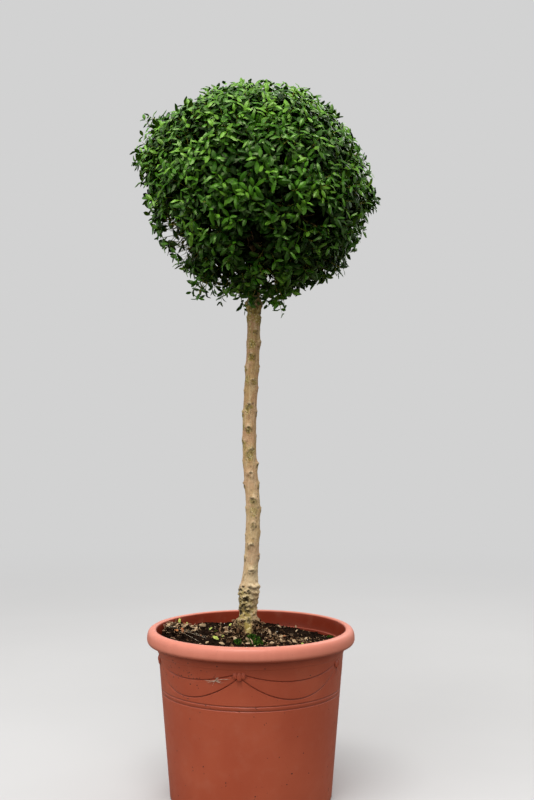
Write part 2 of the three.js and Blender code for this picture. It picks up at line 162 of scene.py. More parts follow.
def pick(piece: Piece, kind: str, rule: Callable[[Any], bool]) -> None:
    """Select the elements of the piece in edit mode that a rule takes.

    Args:
        piece: The piece in edit mode.
        kind: "verts", "edges" or "faces".
        rule: Takes an element and returns whether it is selected.
    """
    bpy.ops.mesh.select_mode(type=kind[:4].upper())
    bpy.ops.mesh.select_all(action="DESELECT")
    work = bmesh.from_edit_mesh(piece.data)
    for element in getattr(work, kind):
        if rule(element):
            element.select_set(True)
    work.select_flush_mode()
    bmesh.update_edit_mesh(piece.data)


def places(piece: Piece) -> Array:
    """The vertices of a piece in millimetres."""
    return np.array([vertex.co for vertex in piece.data.vertices]) / MM


def move_to(piece: Piece, points: Array) -> None:
    """Put the vertices of a piece at points in millimetres."""
    piece.data.vertices.foreach_set("co", (points * MM).ravel())
    piece.data.update()


def mark_points(piece: Piece, marks: Array) -> None:
    """Give each vertex of a piece the masks that its finish reads, shape (vertices, 4)."""
    layer = piece.data.color_attributes.new(MARKS, "FLOAT_COLOR", "POINT")
    layer.data.foreach_set("color", marks.ravel())


def join(first: Piece, others: Sequence[Piece]) -> Piece:
    """Make several pieces one.

    Args:
        first: The piece that takes the others in.
        others: The pieces that go into it.

    Returns:
        The first piece.
    """
    activate(first)
    for piece in others:
        piece.select_set(True)
    bpy.ops.object.join()
    return first


def face_outwards(piece: Piece) -> None:
    """Merge the doubles of a piece and turn its faces outwards."""
    with editing(piece):
        bpy.ops.mesh.remove_doubles(threshold=1e-6)
        bpy.ops.mesh.normals_make_consistent(inside=False)


def cylinder(sides: int, low: float, high: float, radius: float, ends: str) -> Piece:
    """An upright cylinder round the origin's axis, in millimetres.

    Args:
        sides: Vertices round it.
        low: Height of its lower end.
        high: Height of its upper end.
        radius: Its radius.
        ends: How its ends are filled.

    Returns:
        The new object.
    """
    middle, depth = (0, 0, (low + high) / 2 * MM), (high - low) * MM
    bpy.ops.mesh.primitive_cylinder_add(
        vertices=sides, radius=radius * MM, depth=depth, location=middle, end_fill_type=ends
    )
    bpy.ops.object.transform_apply(location=True, rotation=True, scale=True)
    return bpy.context.object


def column(sides: int, rings: int, low: float, high: float, radius: float) -> Piece:
    """An upright cylinder whose wall is cut into many rings.

    Args:
        sides: Vertices round it.
        rings: Rows of faces up it, a multiple of ten.
        low: Height of its lower end.
        high: Height of its upper end.
        radius: Its radius.

    Returns:
        The new object.
    """
    piece = cylinder(sides, low, high, radius, "TRIFAN")
    with editing(piece):
        for cuts in (9, rings // 10 - 1):
            pick(piece, "edges", lambda edge: abs(edge.verts[0].co.z - edge.verts[1].co.z) > FLAT)
            bpy.ops.mesh.subdivide(number_cuts=cuts)
    return piece


def mesh_from(points: Array, faces: Array, dealt: Array) -> Piece:
    """A piece made of many small shapes joined from arrays.

    Args:
        points: Vertices in millimetres, shape (points, 3).
        faces: Triangles as indices of vertices, shape (faces, 3).
        dealt: The material slot of each triangle.

    Returns:
        The new object, at the origin.
    """
    mesh = bpy.data.meshes.new("joined")
    mesh.vertices.add(len(points))
    mesh.vertices.foreach_set("co", (points * MM).ravel())
    mesh.loops.add(faces.size)
    mesh.loops.foreach_set("vertex_index", faces.ravel().astype(np.int32))
    mesh.polygons.add(len(faces))
    mesh.polygons.foreach_set("loop_start", np.arange(0, faces.size, 3, dtype=np.int32))
    mesh.polygons.foreach_set("material_index", dealt.astype(np.int32))
    mesh.update(calc_edges=True)
    piece = bpy.data.objects.new("joined", mesh)
    bpy.context.scene.collection.objects.link(piece)
    return piece


def finish_piece(
    piece: Piece, name: str, slot: str, smooth: float, finishes: Sequence, replaced: Sequence[str] = ()
) -> None:
    """Smooth and name a piece, give it its finishes and hang it in the frame.

    Args:
        piece: The piece.
        name: Its name.
        slot: The record's material slot; not used.
        smooth: Edges under this angle look smooth, in degrees.
        finishes: Its finishes, one for each material slot.
        replaced: The CAD nodes that it stands for.
    """
    activate(piece)
    bpy.ops.object.shade_smooth_by_angle(angle=math.radians(smooth))
    piece.name = name
    piece.data.name = name
    dealt = np.empty(len(piece.data.polygons), dtype=np.int32)
    piece.data.polygons.foreach_get("material_index", dealt)
    piece.data.materials.clear()
    for finish in finishes:
        piece.data.materials.append(finish.material())
    piece.data.polygons.foreach_set("material_index", dealt)
    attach(piece, "root")
    if replaced:
        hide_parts(*replaced)
    LOG.info("%s: %d triangles", name, sum(len(p.vertices) - 2 for p in piece.data.polygons))


@dataclass
class Stock:
    """A small closed shape that is laid out many times, and which triangles are its underside."""

    points: Array
    faces: Array
    under: Array

    @classmethod
    def from_object(cls, piece: Piece) -> "Stock":
        """The triangles of an object, which is then thrown away.

        Args:
            piece: A closed object modelled at the origin.

        Returns:
            The shape as stock.
        """
        with editing(piece):
            bpy.ops.mesh.quads_convert_to_tris()
        faces = np.array([list(face.vertices) for face in piece.data.polygons])
        under = np.array([face.normal.z < 0 for face in piece.data.polygons])
        points = places(piece)
        bpy.data.objects.remove(piece)
        return cls(points, faces, under)

    def lay_out(self, roots: Array, frames: Array) -> tuple[Array, Array]:
        """Vertices and triangles of copies at their roots, with their axes as rows of frames."""
        points = roots[:, None] + np.einsum("pk,nkj->npj", self.points, frames)
        step = np.arange(len(roots))[:, None, None] * len(self.points)
        return points.reshape(-1, 3), (self.faces[None] + step).reshape(-1, 3)


def gather(parts: Sequence[tuple[Array, Array, Array]]) -> tuple[Array, Array, Array]:
    """Several sets of vertices, triangles and slots as one.

    Args:
        parts: The sets.

    Returns:
        The joined set.
    """
    points, faces, dealt = zip(*parts)
    starts = np.cumsum([0, *map(len, points)])
    faces = [own + start for own, start in zip(faces, starts)]
    return np.concatenate(points), np.concatenate(faces), np.concatenate(dealt)


def tubes(lines: Array, radii: Array, sides: int) -> tuple[Array, Array]:
    """Closed tapering tubes along many lines, each ending in a point.

    Args:
        lines: Their points, shape (lines, points, 3).
        radii: Their radii, shape (lines, points).
        sides: Vertices round each.

    Returns:
        The vertices and the triangles of all tubes.
    """
    count, steps = lines.shape[:2]
    heading = unit(np.gradient(lines, axis=1))
    aside = unit(np.cross(heading, unit(np.array([0.31, 0.87, 0.39]))))
    across = np.cross(heading, aside)
    angle = np.arange(sides) / sides * TURN
    cos, sin = np.cos(angle)[:, None], np.sin(angle)[:, None]
    ring = cos * aside[:, :, None] + sin * across[:, :, None]
    rings = lines[:, :, None] + ring * radii[:, :, None, None]
    body = rings[:, :-1].reshape(count, -1, 3)
    points = np.concatenate([body, lines[:, -1:]], axis=1)
    faces = []
    for row in range(steps - 2):
        for side in range(sides):
            a, b = row * sides + side, row * sides + (side + 1) % sides
            faces += [(a, b, b + sides), (a, b + sides, a + sides)]
    last, tip = (steps - 2) * sides, (steps - 1) * sides
    faces += [(last + side, last + (side + 1) % sides, tip) for side in range(sides)]
    faces += [(0, side + 1, side) for side in range(1, sides - 1)]
    faces = np.array(faces)
    step = np.arange(count)[:, None, None] * points.shape[1]
    return points.reshape(-1, 3), (faces[None] + step).reshape(-1, 3)


# ---- finishes ----


def paint(red: int, green: int, blue: int) -> tuple[float, ...]:
    """A colour on the 0 to 255 scale as the linear light that a shader takes."""
    bright = [value / 255 for value in (red, green, blue)]
    return (*[v / 12.92 if v <= 0.04045 else ((v + 0.055) / 1.055) ** 2.4 for v in bright], 1.0)


class Tree:
    """Lays out the nodes of a material or a world."""

    def __init__(self, made: Material | bpy.types.World) -> None:
        """Give the material or world its nodes."""
        made.use_nodes = True
        self.made, self.tree = made, made.node_tree

    def add(self, kind: str, inputs: dict | None = None, **settings: Any) -> bpy.types.Node:
        """A new node.

        Args:
            kind: Its type, without "ShaderNode".
            inputs: Values or sockets for its inputs, by name or number.
            settings: Its own properties.

        Returns:
            The node.
        """
        node = self.tree.nodes.new("ShaderNode" + kind)
        for key, value in settings.items():
            setattr(node, key, value)
        for key, value in (inputs or {}).items():
            if isinstance(value, Socket):
                self.tree.links.new(value, node.inputs[key])
            else:
                node.inputs[key].default_value = value
        return node


class Nodes(Tree):
    """Lays out the nodes of one material."""

    def __init__(self, name: str) -> None:
        """Start a named material with its own shader."""
        super().__init__(bpy.data.materials.new(name))
        self.shader = self.tree.nodes["Principled BSDF"]
        self.here = self.add("TexCoord").outputs["Object"]

    def stretched(self, x: float, y: float, z: float) -> Socket:
        """The place on the piece, scaled along each axis."""
        return self.add("Mapping", {"Vector": self.here, "Scale": (x, y, z)}).outputs[0]

    def noise(self, scale: float, detail: float = 4, at: Socket | None = None) -> Socket:
        """Noise from 0 to 1 whose lumps are about one metre over the scale."""
        inputs = {"Vector": at or self.here, "Scale": scale, "Detail": detail}
        return self.add("TexNoise", inputs).outputs["Fac"]

    def cells(self, scale: float, at: Socket | None = None) -> Socket:
        """The distance to the middle of the nearest cell, from 0 up."""
        inputs = {"Vector": at or self.here, "Scale": scale}
        return self.add("TexVoronoi", inputs).outputs["Distance"]

    def sum(self, operation: str, a: Value, b: Value, clamp: bool = False) -> Socket:
        """The result of a sum on two numbers or sockets."""
        return self.add("Math", {0: a, 1: b}, operation=operation, use_clamp=clamp).outputs[0]

    def times(self, a: Value, b: Value, clamp: bool = False) -> Socket:
        """The product of two numbers or sockets."""
        return self.sum("MULTIPLY", a, b, clamp)

    def plus(self, a: Value, b: Value) -> Socket:
        """The total of two numbers or sockets."""
        return self.sum("ADD", a, b)

    def between(self, value: Value, low: float, high: float) -> Socket:
        """0 where the value is under low, 1 over high, and smooth between."""
        inputs = {"Value": value, "From Min": low, "From Max": high}
        return self.add("MapRange", inputs, interpolation_type="SMOOTHSTEP").outputs[0]

    def blend(self, share: Value, a: Value, b: Value) -> Socket:
        """The colour a, with b over it where share is 1."""
        node = self.add("Mix", {0: share, 6: a, 7: b}, data_type="RGBA")
        return node.outputs[2]

    def marks(self) -> list[Socket]:
        """The three masks that a piece carries in its colour attribute."""
        colour = self.add("Attribute", attribute_name=MARKS).outputs["Color"]
        return self.add("SeparateColor", {0: colour}).outputs[:3]

    def dress(
        self, colour: Socket, roughness: Socket, shine: float, relief: Socket | None = None, depth: float = 0
    ) -> Material:
        """Link the shader's inputs.

        Args:
            colour: The base colour.
            roughness: The roughness.
            shine: The specular level.
            relief: Its height, from 0 to 1.
            depth: How deep the relief is, in metres.

        Returns:
            The finished material.
        """
        self.shader.inputs["Specular IOR Level"].default_value = shine
        self.tree.links.new(colour, self.shader.inputs["Base Color"])
        self.tree.links.new(roughness, self.shader.inputs["Roughness"])
        if relief:
            bump = self.add("Bump", {"Height": relief, "Distance": depth, "Strength": 1.0})
            self.tree.links.new(bump.outputs[0], self.shader.inputs["Normal"])
        return self.made


@dataclass(frozen=True)
class PotPlastic:
    """Terracotta-coloured moulded plastic, dusty and a little bleached on the rim, with a painted highlight
    on the rim and painted shade in its grooves and under the rim.
    """

    name: str = "moulded_plastic"
    body: Colour = (170, 77, 50)
    warm: Colour = (178, 85, 57)
    bloom_and_highlight: Colour = (216, 134, 112)
    groove: Colour = (98, 38, 22)
    dirt: Colour = (58, 34, 22)
    shine: float = 0.4

    def material(self) -> Material:
        """Lay the finish out in nodes.

        Returns:
            The finished material.
        """
        n = Nodes(self.name)
        groove, bleach_and_highlight, dusty = n.marks()
        cloud = n.between(n.noise(9, 5), 0.35, 0.68)
        colour = n.blend(cloud, paint(*self.body), paint(*self.warm))
        streaks = n.between(n.noise(1, 3, n.stretched(55, 55, 6)), 0.42, 0.72)
        # Paler over the rim: bleaching, and a painted highlight where light falls on the rim's top.
        veil = n.times(n.plus(bleach_and_highlight, n.times(streaks, 0.12)), 0.75)
        colour = n.blend(n.times(veil, bleach_and_highlight, True), colour, paint(*self.bloom_and_highlight))
        # Painted shade in the groove colour: in the grooves, round the knots and under the rim.
        colour = n.blend(n.times(groove, 0.75), colour, paint(*self.groove))
        specks = n.between(n.cells(170), 0.26, 0.16)
        chosen = n.between(n.plus(n.noise(62, 1), n.times(dusty, 0.15)), 0.65, 0.69)
        bare = n.sum("SUBTRACT", 1.0, n.times(bleach_and_highlight, 0.9))
        dirt = n.times(n.times(specks, chosen), bare)
        colour = n.blend(dirt, colour, paint(*self.dirt))
        dust = n.between(n.noise(38, 6), 0.5, 0.8)
        colour = n.blend(n.times(dust, 0.08), colour, paint(190, 140, 116))
        roughness = n.plus(n.times(n.noise(60, 5), 0.25), 0.3)
        grain = n.plus(n.times(n.noise(420, 3), 0.4), n.noise(35, 4))
        return n.dress(colour, roughness, self.shine, n.plus(grain, dirt), 0.00035)


@dataclass(frozen=True)
class Bark:
    """Pale tan bark with lengthwise streaks, dark pits and green algae, with painted shadow lines under the
    stubs and painted highlights on the burr's lumps.
    """

    name: str = "living_bark"
    tan: Colour = (174, 141, 88)
    pink: Colour = (183, 142, 102)
    pale: Colour = (222, 200, 160)
    algae: Colour = (142, 124, 38)
    lichen: Colour = (240, 224, 166)
    pit: Colour = (54, 42, 8)

    def material(self) -> Material:
        """Lay the finish out in nodes.

        Returns:
            The finished material.
        """
        n = Nodes(self.name)
        pits, algae, pale = n.marks()
        length = n.stretched(1, 1, 0.22)
        colour = n.blend(n.between(n.noise(26, 4), 0.38, 0.62), paint(*self.tan), paint(*self.pink))
        streak = n.between(n.noise(210, 5, length), 0.42, 0.7)
        colour = n.blend(n.times(streak, 0.45), colour, paint(*self.pale))
        fleck = n.between(n.noise(400, 5), 0.53, 0.64)
        colour = n.blend(n.times(fleck, 0.55), colour, paint(120, 90, 58))
        dots = n.times(n.between(n.cells(420), 0.3, 0.16), n.between(n.noise(120, 2), 0.5, 0.6))
        colour = n.blend(n.times(dots, 0.6), colour, paint(84, 62, 34))
        patchy = n.plus(algae, n.times(n.sum("SUBTRACT", n.noise(230, 5), 0.5), 2.2))
        stain = n.times(n.between(patchy, 0.35, 0.8), n.between(algae, 0, 0.25))
        colour = n.blend(n.times(stain, 0.8), colour, paint(*self.algae))
        crust = n.times(stain, n.between(n.noise(280, 3), 0.54, 0.64))
        colour = n.blend(n.times(crust, 0.6), colour, paint(*self.lichen))
        # Pale bark, with painted highlights on the burr's raised lumps.
        pale_and_highlit = n.times(pale, n.between(n.noise(170, 4), 0.2, 0.55))
        colour = n.blend(n.times(pale_and_highlit, 0.85), colour, paint(*self.pale))
        # The pit colour also paints the shadow lines under the stubs' brows.
        colour = n.blend(pits, colour, paint(*self.pit))
        crack = n.between(n.cells(300, at=length), 0.05, 0.4)
        height = n.plus(n.noise(480, 6, length), n.times(crack, 0.5))
        roughness = n.plus(n.times(n.noise(150, 3), 0.25), 0.62)
        return n.dress(colour, roughness, 0.5, height, 0.0009)


class Tone(Enum):
    """The greens dealt out to the sprays, lit and shaded copies of one green from painted shade up to
    painted light, and fresh growth, the shaded ones duller: upper side, underside, roughness and shine.
    """

    SHADED = ((5, 12, 1), (8, 16, 3), 0.6, 0.05)
    OLD = ((9, 28, 2), (16, 35, 5), 0.42, 0.14)
    DARK = ((15, 44, 3), (25, 52, 8), 0.36, 0.26)
    MIDDLE = ((31, 68, 5), (42, 74, 12), 0.33, 0.4)
    BRIGHT = ((50, 94, 10), (60, 93, 19), 0.32, 0.48)
    YOUNG = ((78, 120, 28), (84, 112, 34), 0.34, 0.45)


@dataclass(frozen=True)
class LeafSkin:
    """The skin of a leaf: a waxy upper side or a paler, duller underside."""

    tone: Tone
    underside: bool = False

    def material(self) -> Material:
        """Lay the finish out in nodes.

        Returns:
            The finished material.
        """
        side = "under" if self.underside else "upper"
        name = f"leaf_{self.tone.name.lower()}_{side}"
        if name in bpy.data.materials:
            return bpy.data.materials[name]
        n = Nodes(name)
        upper, under, gloss, shine = self.tone.value
        shade = under if self.underside else upper
        near = tuple(min(255, round(v * 1.16 + 3)) for v in shade)
        colour = n.blend(n.between(n.noise(70, 3), 0.36, 0.64), paint(*shade), paint(*near))
        least = gloss + (0.3 if self.underside else 0)
        roughness = n.plus(n.times(n.noise(240, 3), 0.16), least - 0.06)
        n.shader.inputs["Specular Tint"].default_value = (0.86, 1.0, 0.5, 1.0)
        shine = 0.12 if self.underside else shine
        return n.dress(colour, roughness, shine, n.noise(620, 4), 0.00022)


@dataclass(frozen=True)
class Mottled:
    """A rough natural surface that varies between two colours."""

    name: str
    dark: Colour
    light: Colour
    scale: float = 180
    depth: float = 0.0006
    roughness: float = 0.8
    shine: float = 0.3

    def material(self) -> Material:
        """Lay the finish out in nodes.

        Returns:
            The finished material.
        """
        if self.name in bpy.data.materials:
            return bpy.data.materials[self.name]
        n = Nodes(self.name)
        mottle = n.between(n.noise(self.scale, 5), 0.36, 0.64)
        colour = n.blend(mottle, paint(*self.dark), paint(*self.light))
        fleck = n.between(n.noise(3.1 * self.scale, 3), 0.6, 0.7)
        dull = tuple(round(0.55 * v) for v in self.dark)
        colour = n.blend(n.times(fleck, 0.5), colour, paint(*dull))
        roughness = n.plus(n.times(n.noise(2 * self.scale, 3), 0.2), self.roughness - 0.1)
        height = n.plus(n.noise(2.4 * self.scale, 5), n.noise(0.9 * self.scale, 3))
        return n.dress(colour, roughness, self.shine, height, self.depth)


# ---- pot ----


@dataclass
class Relief:
    """Swags in relief: two hanging lines between each two knots."""

    count: int = 5
    first_angle: float = math.radians(-96)
    upper_row: float = 262.0
    lower_row: float = 240.0
    upper_hook: float = 275.5
    lower_hook: float = 268.0
    upper_sag: float = 18.5
    lower_sag: float = 44.5
    half_width: float = 1.7
    depth: float = 1.4
    puff: float = 0.9
    band: Pair = (217.0, 280.0)

    def sag_shape(self, angle: Array) -> Array:
        """0 at the knots and 1 midway between them."""
        sector = TURN / self.count
        return 1 - (np.mod(angle - self.first_angle, sector) / sector * 2 - 1) ** 2

    def bend_rows(self, z: Array, angle: Array) -> tuple[Array, Array]:
        """Heights of a band's vertices bent to the swags, and how far they stand proud.

        Args:
            z: Heights on the plain profile.
            angle: Angles about +Z.

        Returns:
            The new heights, and the distances proud of the wall.
        """
        hang = self.sag_shape(angle)
        upper = self.upper_hook - self.upper_sag * hang
        lower = self.lower_hook - self.lower_sag * hang
        width = self.half_width
        froms = [self.band[0], self.lower_row - width, self.lower_row + width]
        froms += [self.upper_row - width, self.upper_row + width, self.band[1]]
        level = np.ones_like(z)
        tos = [self.band[0] * level, lower - width, lower + width]
        tos += [np.maximum(upper - width, lower + 1.2 * width), upper + width, self.band[1] * level]
        bent = z.copy()
        for i in range(5):
            inside = (z > froms[i]) & (z <= froms[i + 1])
            share = (z - froms[i]) / (froms[i + 1] - froms[i])
            bent[inside] = lerp(tos[i], tos[i + 1], share)[inside]
        groove = np.zeros_like(z)
        for row in (self.lower_row, self.upper_row):
            groove = np.maximum(groove, 1 - np.minimum(np.abs(z - row) / width, 1) ** 1.5)
        cloth = np.clip((z - self.lower_row) / (self.upper_row - self.lower_row), 0, 1)
        proud = self.puff * np.sin(math.pi * cloth) ** 0.6 * np.clip(3 * hang, 0, 1)
        faded = 1 - 0.8 * smoothstep(np.abs(np.cos(angle)), 0.72, 0.93)
        return bent, (proud - self.depth * groove) * faded


@dataclass
class Pot:
    """The round plastic pot: rolled rim, collar, swags, two ring grooves and drain holes."""

    foot_radius: float = 155.5
    shoulder_radius: float = 179.5
    rim_bottom: float = 298.0
    wall: float = 3.2
    floor: float = 5.0
    steps: int = 360
    rings: Pair = (206.0, 214.0)
    drains: int = 6
    drain_radius: float = 7.0
    drain_circle: float = 112.0
    relief: Relief = field(default_factory=Relief)

    def radius(self, z: float) -> float:
        """The outside radius of the plain wall at a height."""
        return lerp(self.foot_radius, self.shoulder_radius, z / self.rim_bottom)

    def outside(self) -> list[Pair]:
        """The profile from the middle of the underside up to the rim's foot.

        Returns:
            Radii and heights.
        """
        wall = [(self.radius(z), z) for z in (4, 12, 40, 80, 120, 160, 190, 203)]
        for ring in self.rings:
            for rise, sunk in ((-1.5, 0), (-0.8, 0.55), (0, 1.0), (0.8, 0.55), (1.5, 0)):
                wall.append((self.radius(ring + rise) - sunk, ring + rise))
        relief = self.relief
        marks = [relief.band[0], 224, 231]
        for row in (relief.lower_row, relief.upper_row):
            marks += [row + share * relief.half_width for share in (-1, -0.55, 0, 0.55, 1)]
            marks += [row + 5, row + 10, row + 15] if row == relief.lower_row else []
        marks += [267, 272, 276, relief.band[1]]
        wall += [(self.radius(z), z) for z in marks]
        collar = ((281, 0.1), (281.6, 0.7), (282.4, 1.1), (284, 1.2), (291, 1.2), (297.4, 1.2))
        wall += [(self.radius(z) + proud, z) for z, proud in collar]
        foot = [(0, 0), (60, 0), (100, 0), (124, 0), (148, 0), (151.5, 0), (153.6, 0.6), (155, 2)]
        return foot + wall

    def over_the_rim(self) -> list[Pair]:
        """The profile of the rolled rim, over its top and down the inside to the floor.

        Returns:
            Radii and heights.
        """
        roll = [(182.4, 298.2), (190, 297.8), (195.2, 298), (197.6, 299.2), (199.2, 301.6)]
        roll += [(200, 304.6), (200, 308), (199.7, 312), (199.0, 316), (197.8, 319.4)]
        roll += [(195.8, 322.2), (193, 324), (189.6, 324.9), (186.4, 325), (184, 324.3)]
        roll += [(182.6, 322.8), (182, 320.6), (181.4, 314), (180.4, 306), (179.2, 298)]
        ledge = [(178.6, 296.4), (177.8, 295.6), (176.4, 294.9), (175.9, 294)]
        inner = [(self.radius(z) - self.wall, z) for z in (286, 200, 100, 20, 8)]
        return roll + ledge + inner + [(149.5, 5.4), (146, 5), (124, 5), (100, 5), (50, 5), (0, 5)]

    def spin_body(self) -> Piece:
        """The body turned from its profile.

        Returns:
            The closed body.
        """
        profile = self.outside() + self.over_the_rim()
        bpy.ops.mesh.primitive_plane_add(size=0.001)
        body = bpy.context.object
        with editing(body):
            bpy.ops.mesh.merge(type="CENTER")
            for (r0, z0), (r1, z1) in zip(profile, profile[1:]):
                step = ((r1 - r0) * MM, 0, (z1 - z0) * MM)
                bpy.ops.mesh.extrude_region_move(TRANSFORM_OT_translate={"value": step})
            bpy.ops.mesh.select_all(action="SELECT")
            bpy.ops.mesh.spin(steps=self.steps, angle=TURN, center=(0, 0, 0), axis=(0, 0, 1))
        face_outwards(body)
        return body

    def press_relief(self, body: Piece) -> None:
        """Bend the rows of the swag band to the hanging lines and sink them.

        Args:
            body: The turned body.
        """
        points = places(body)
        radius = np.hypot(points[:, 0], points[:, 1])
        low, high = self.relief.band
        wall = (points[:, 2] >= low) & (points[:, 2] <= high) & (radius > self.radius(low) - 2)
        wall &= radius > self.radius(points[:, 2]) - 1
        angle = np.arctan2(points[wall, 1], points[wall, 0])
        bent, proud = self.relief.bend_rows(points[wall, 2], angle)
        new = self.radius(bent) + proud
        points[wall] = np.stack([new * np.cos(angle), new * np.sin(angle), bent], axis=1)
        move_to(body, points)

    def drill(self, body: Piece) -> None:
        """Cut the drain holes through the floor.

        Args:
            body: The turned body.
        """
        drills = []
        for hole in range(self.drains):
            angle = hole / self.drains * TURN
            at = [self.drain_circle * MM * v for v in (math.cos(angle), math.sin(angle), 0)]
            bpy.ops.mesh.primitive_cylinder_add(
                vertices=24, radius=self.drain_radius * MM, depth=0.03, location=at
            )
            drills.append(bpy.context.object)
        cutter = join(drills[-1], drills[:-1])
        cut = body.modifiers.new("drains", "BOOLEAN")
        cut.object = cutter
        cut.operation = "DIFFERENCE"
        activate(body)
        bpy.ops.object.modifier_apply(modifier=cut.name)
        bpy.data.objects.remove(cutter)

    def knot(self, angle: float) -> list[Piece]:
        """One gathered knot of the swags: three hanging lobes.

        Args:
            angle: Where it sits, about +Z.

        Returns:
            Its closed pieces.
        """
        shapes = [(-7.4, 271.3, 4.3, 6.6), (0, 269.4, 4.8, 8.0), (7.4, 271.3, 4.3, 6.6)]
        pieces = []
        for across, z, wide, tall in shapes:
            around = angle + across / self.radius(z)
            at = [v * self.radius(z) * MM for v in (math.cos(around), math.sin(around))]
            bpy.ops.mesh.primitive_uv_sphere_add(segments=20, ring_count=12, radius=MM)
            lobe = bpy.context.object
            lobe.scale = (2.4, wide, tall)
            lobe.rotation_euler = (0, 0, around)
            lobe.location = (*at, z * MM)
            bpy.ops.object.transform_apply(location=True, rotation=True, scale=True)
            pieces.append(lobe)
        return pieces

    def knot_outline(self, points: Array) -> Array:
        """Painted shade, with some dirt, round the foot of each knot.

        Args:
            points: Places in millimetres.

        Returns:
            1 close to a knot's foot, and 0 away from it.
        """
        angle = np.arctan2(points[:, 1], points[:, 0]) - self.relief.first_angle
        sector = TURN / self.relief.count
        across = (np.mod(angle + sector / 2, sector) - sector / 2) * self.radius(272)
        away = np.hypot(across / 14, (points[:, 2] - 271.5) / 9.5)
        low = np.hypot(points[:, 0], points[:, 1]) < self.radius(points[:, 2]) + 0.9
        under = 0.85 * smoothstep(-points[:, 2], -275, -269)
        return np.where(low & (points[:, 2] > 255), smoothstep(-away, -1.15, -0.85) * under, 0)

    def mark(self, body: Piece) -> None:
        """Record the painted shade in the grooves, round the knots and under the rim, the bleached rim with
        its painted highlight, and where dirt lies.

        Args:
            body: The finished body.
        """
        points = places(body)
        radius = np.hypot(points[:, 0], points[:, 1])
        z = points[:, 2]
        # Painted shade in the grooves, darker where the wall is sunk deeper.
        sunk = np.clip((self.radius(z) - radius - 0.25) / 0.8, 0, 1)
        sunk[(radius < self.radius(z) - 2.4) | (z > 280) | (z < 190)] = 0
        # Painted shade, with some dirt, round the foot of each knot.
        sunk = np.maximum(sunk, self.knot_outline(points))
        # Painted shadow on the wall under the rolled rim.
        sunk = np.maximum(sunk, 0.45 * smoothstep(z, 286, 296) * smoothstep(-z, -303, -298) * (radius < 190))
        # The rim's top and outside are paler: bleaching, and a painted highlight where light falls on them.
        rim = smoothstep(z, 299, 303) * (radius > 183.5)
        dusty = smoothstep(z, 215, 262) * smoothstep(-points[:, 0], -40, 120) * (points[:, 1] < 60)
        marks = np.stack([sunk, rim, dusty, np.ones_like(z)], axis=1)
        mark_points(body, marks)

    def build(self) -> None:
        """Model the pot and hang it in the frame."""
        body = self.spin_body()
        self.press_relief(body)
        self.drill(body)
        lobes = []
        for knot in range(self.relief.count):
            lobes += self.knot(self.relief.first_angle + knot / self.relief.count * TURN)
        join(body, lobes)
        self.mark(body)
        # Inward faces of the wall take the darker, duller inside finish: painted shade inside the pot.
        for face in body.data.polygons:
            x, y, z = face.center / MM
            inwards = x * face.normal.x + y * face.normal.y < -0.6 * math.hypot(x, y)
            face.material_index = 1 if inwards and 5 < z < 322.5 and math.hypot(x, y) > 120 else 0
        inside = PotPlastic("plastic_inside", (118, 39, 18), (124, 43, 21), shine=0.15)
        finish_piece(body, "pot_shell", "pot_plastic", 38, [PotPlastic(), inside], ["pot"])


# ---- soil ----


@dataclass
class Soil:
    """The potting soil with its mound, clods and litter."""

    pot: Pot
    foot: Point = (-5.0, 2.0, 316.0)
    level: float = 300.0
    slope: float = -0.055
    mound_height: float = 19.0
    mound_radius: float = 52.0
    clods: float = 1.7
    pad_radius: float = 33.0
    pad_blend: float = 22.0
    seed: int = 11
    sides: int = 300
    rings: int = 62

    def height(self, x: Array, y: Array) -> Array:
        """The height of the surface by the plant's own rule.

        Args:
            x: Places along X.
            y: Places along Y.

        Returns:
            The heights.
        """
        away = np.hypot(x - self.foot[0], y - self.foot[1])
        clods = np.sin(x / 11 + self.seed) * np.cos(y / 13) + np.sin((x + y) / 23 + self.seed / 2)
        mound = self.mound_height * bell(away, self.mound_radius)
        ground = self.level + self.slope * (x - self.foot[0]) + mound + self.clods * clods
        pad = smoothstep(away, self.pad_radius, self.pad_radius + self.pad_blend)
        return self.foot[2] - GAP + (ground - self.foot[2] + GAP) * pad

    def surface(self, x: Array, y: Array) -> Array:
        """The height of the surface with its crumbs."""
        at = np.stack([x, y, np.zeros_like(x)], axis=1)
        return self.height(x, y) + 2.6 * np.maximum(rough(at, 13, 4), -0.5) + 0.9 * rough(at + 50, 4, 2)

    def edge(self, z: float) -> float:
        """The radius of the soil at a height, just inside the pot's wall."""
        return self.pot.radius(z) - self.pot.wall - 2 * GAP

    def build(self) -> None:
        """Model the soil's body and hang it in the frame."""
        low, shoulder = self.pot.floor + GAP, self.level - 14
        body = cylinder(self.sides, low, shoulder, self.edge(shoulder), "NGON")
        with editing(body):
            pick(body, "faces", lambda face: face.normal.z > 0.9)
            for _ in range(self.rings):
                bpy.ops.mesh.inset(thickness=self.edge(shoulder) / (self.rings + 1) * MM)
            bpy.ops.mesh.poke()
        points = places(body)
        radius = np.hypot(points[:, 0], points[:, 1])
        bottom = points[:, 2] < low + 1
        points[bottom, :2] *= (self.edge(low) / self.edge(shoulder))
        top = ~bottom & (radius < self.edge(shoulder) - 1)
        points[top, 2] = self.surface(points[top, 0], points[top, 1])
        move_to(body, points)
        finish = Mottled("potting_soil", (17, 10, 6), (34, 23, 15), 150, 0.0022, 0.95, 0.02)
        finish_piece(body, "soil_body", "soil", 60, [finish], ["soil"])


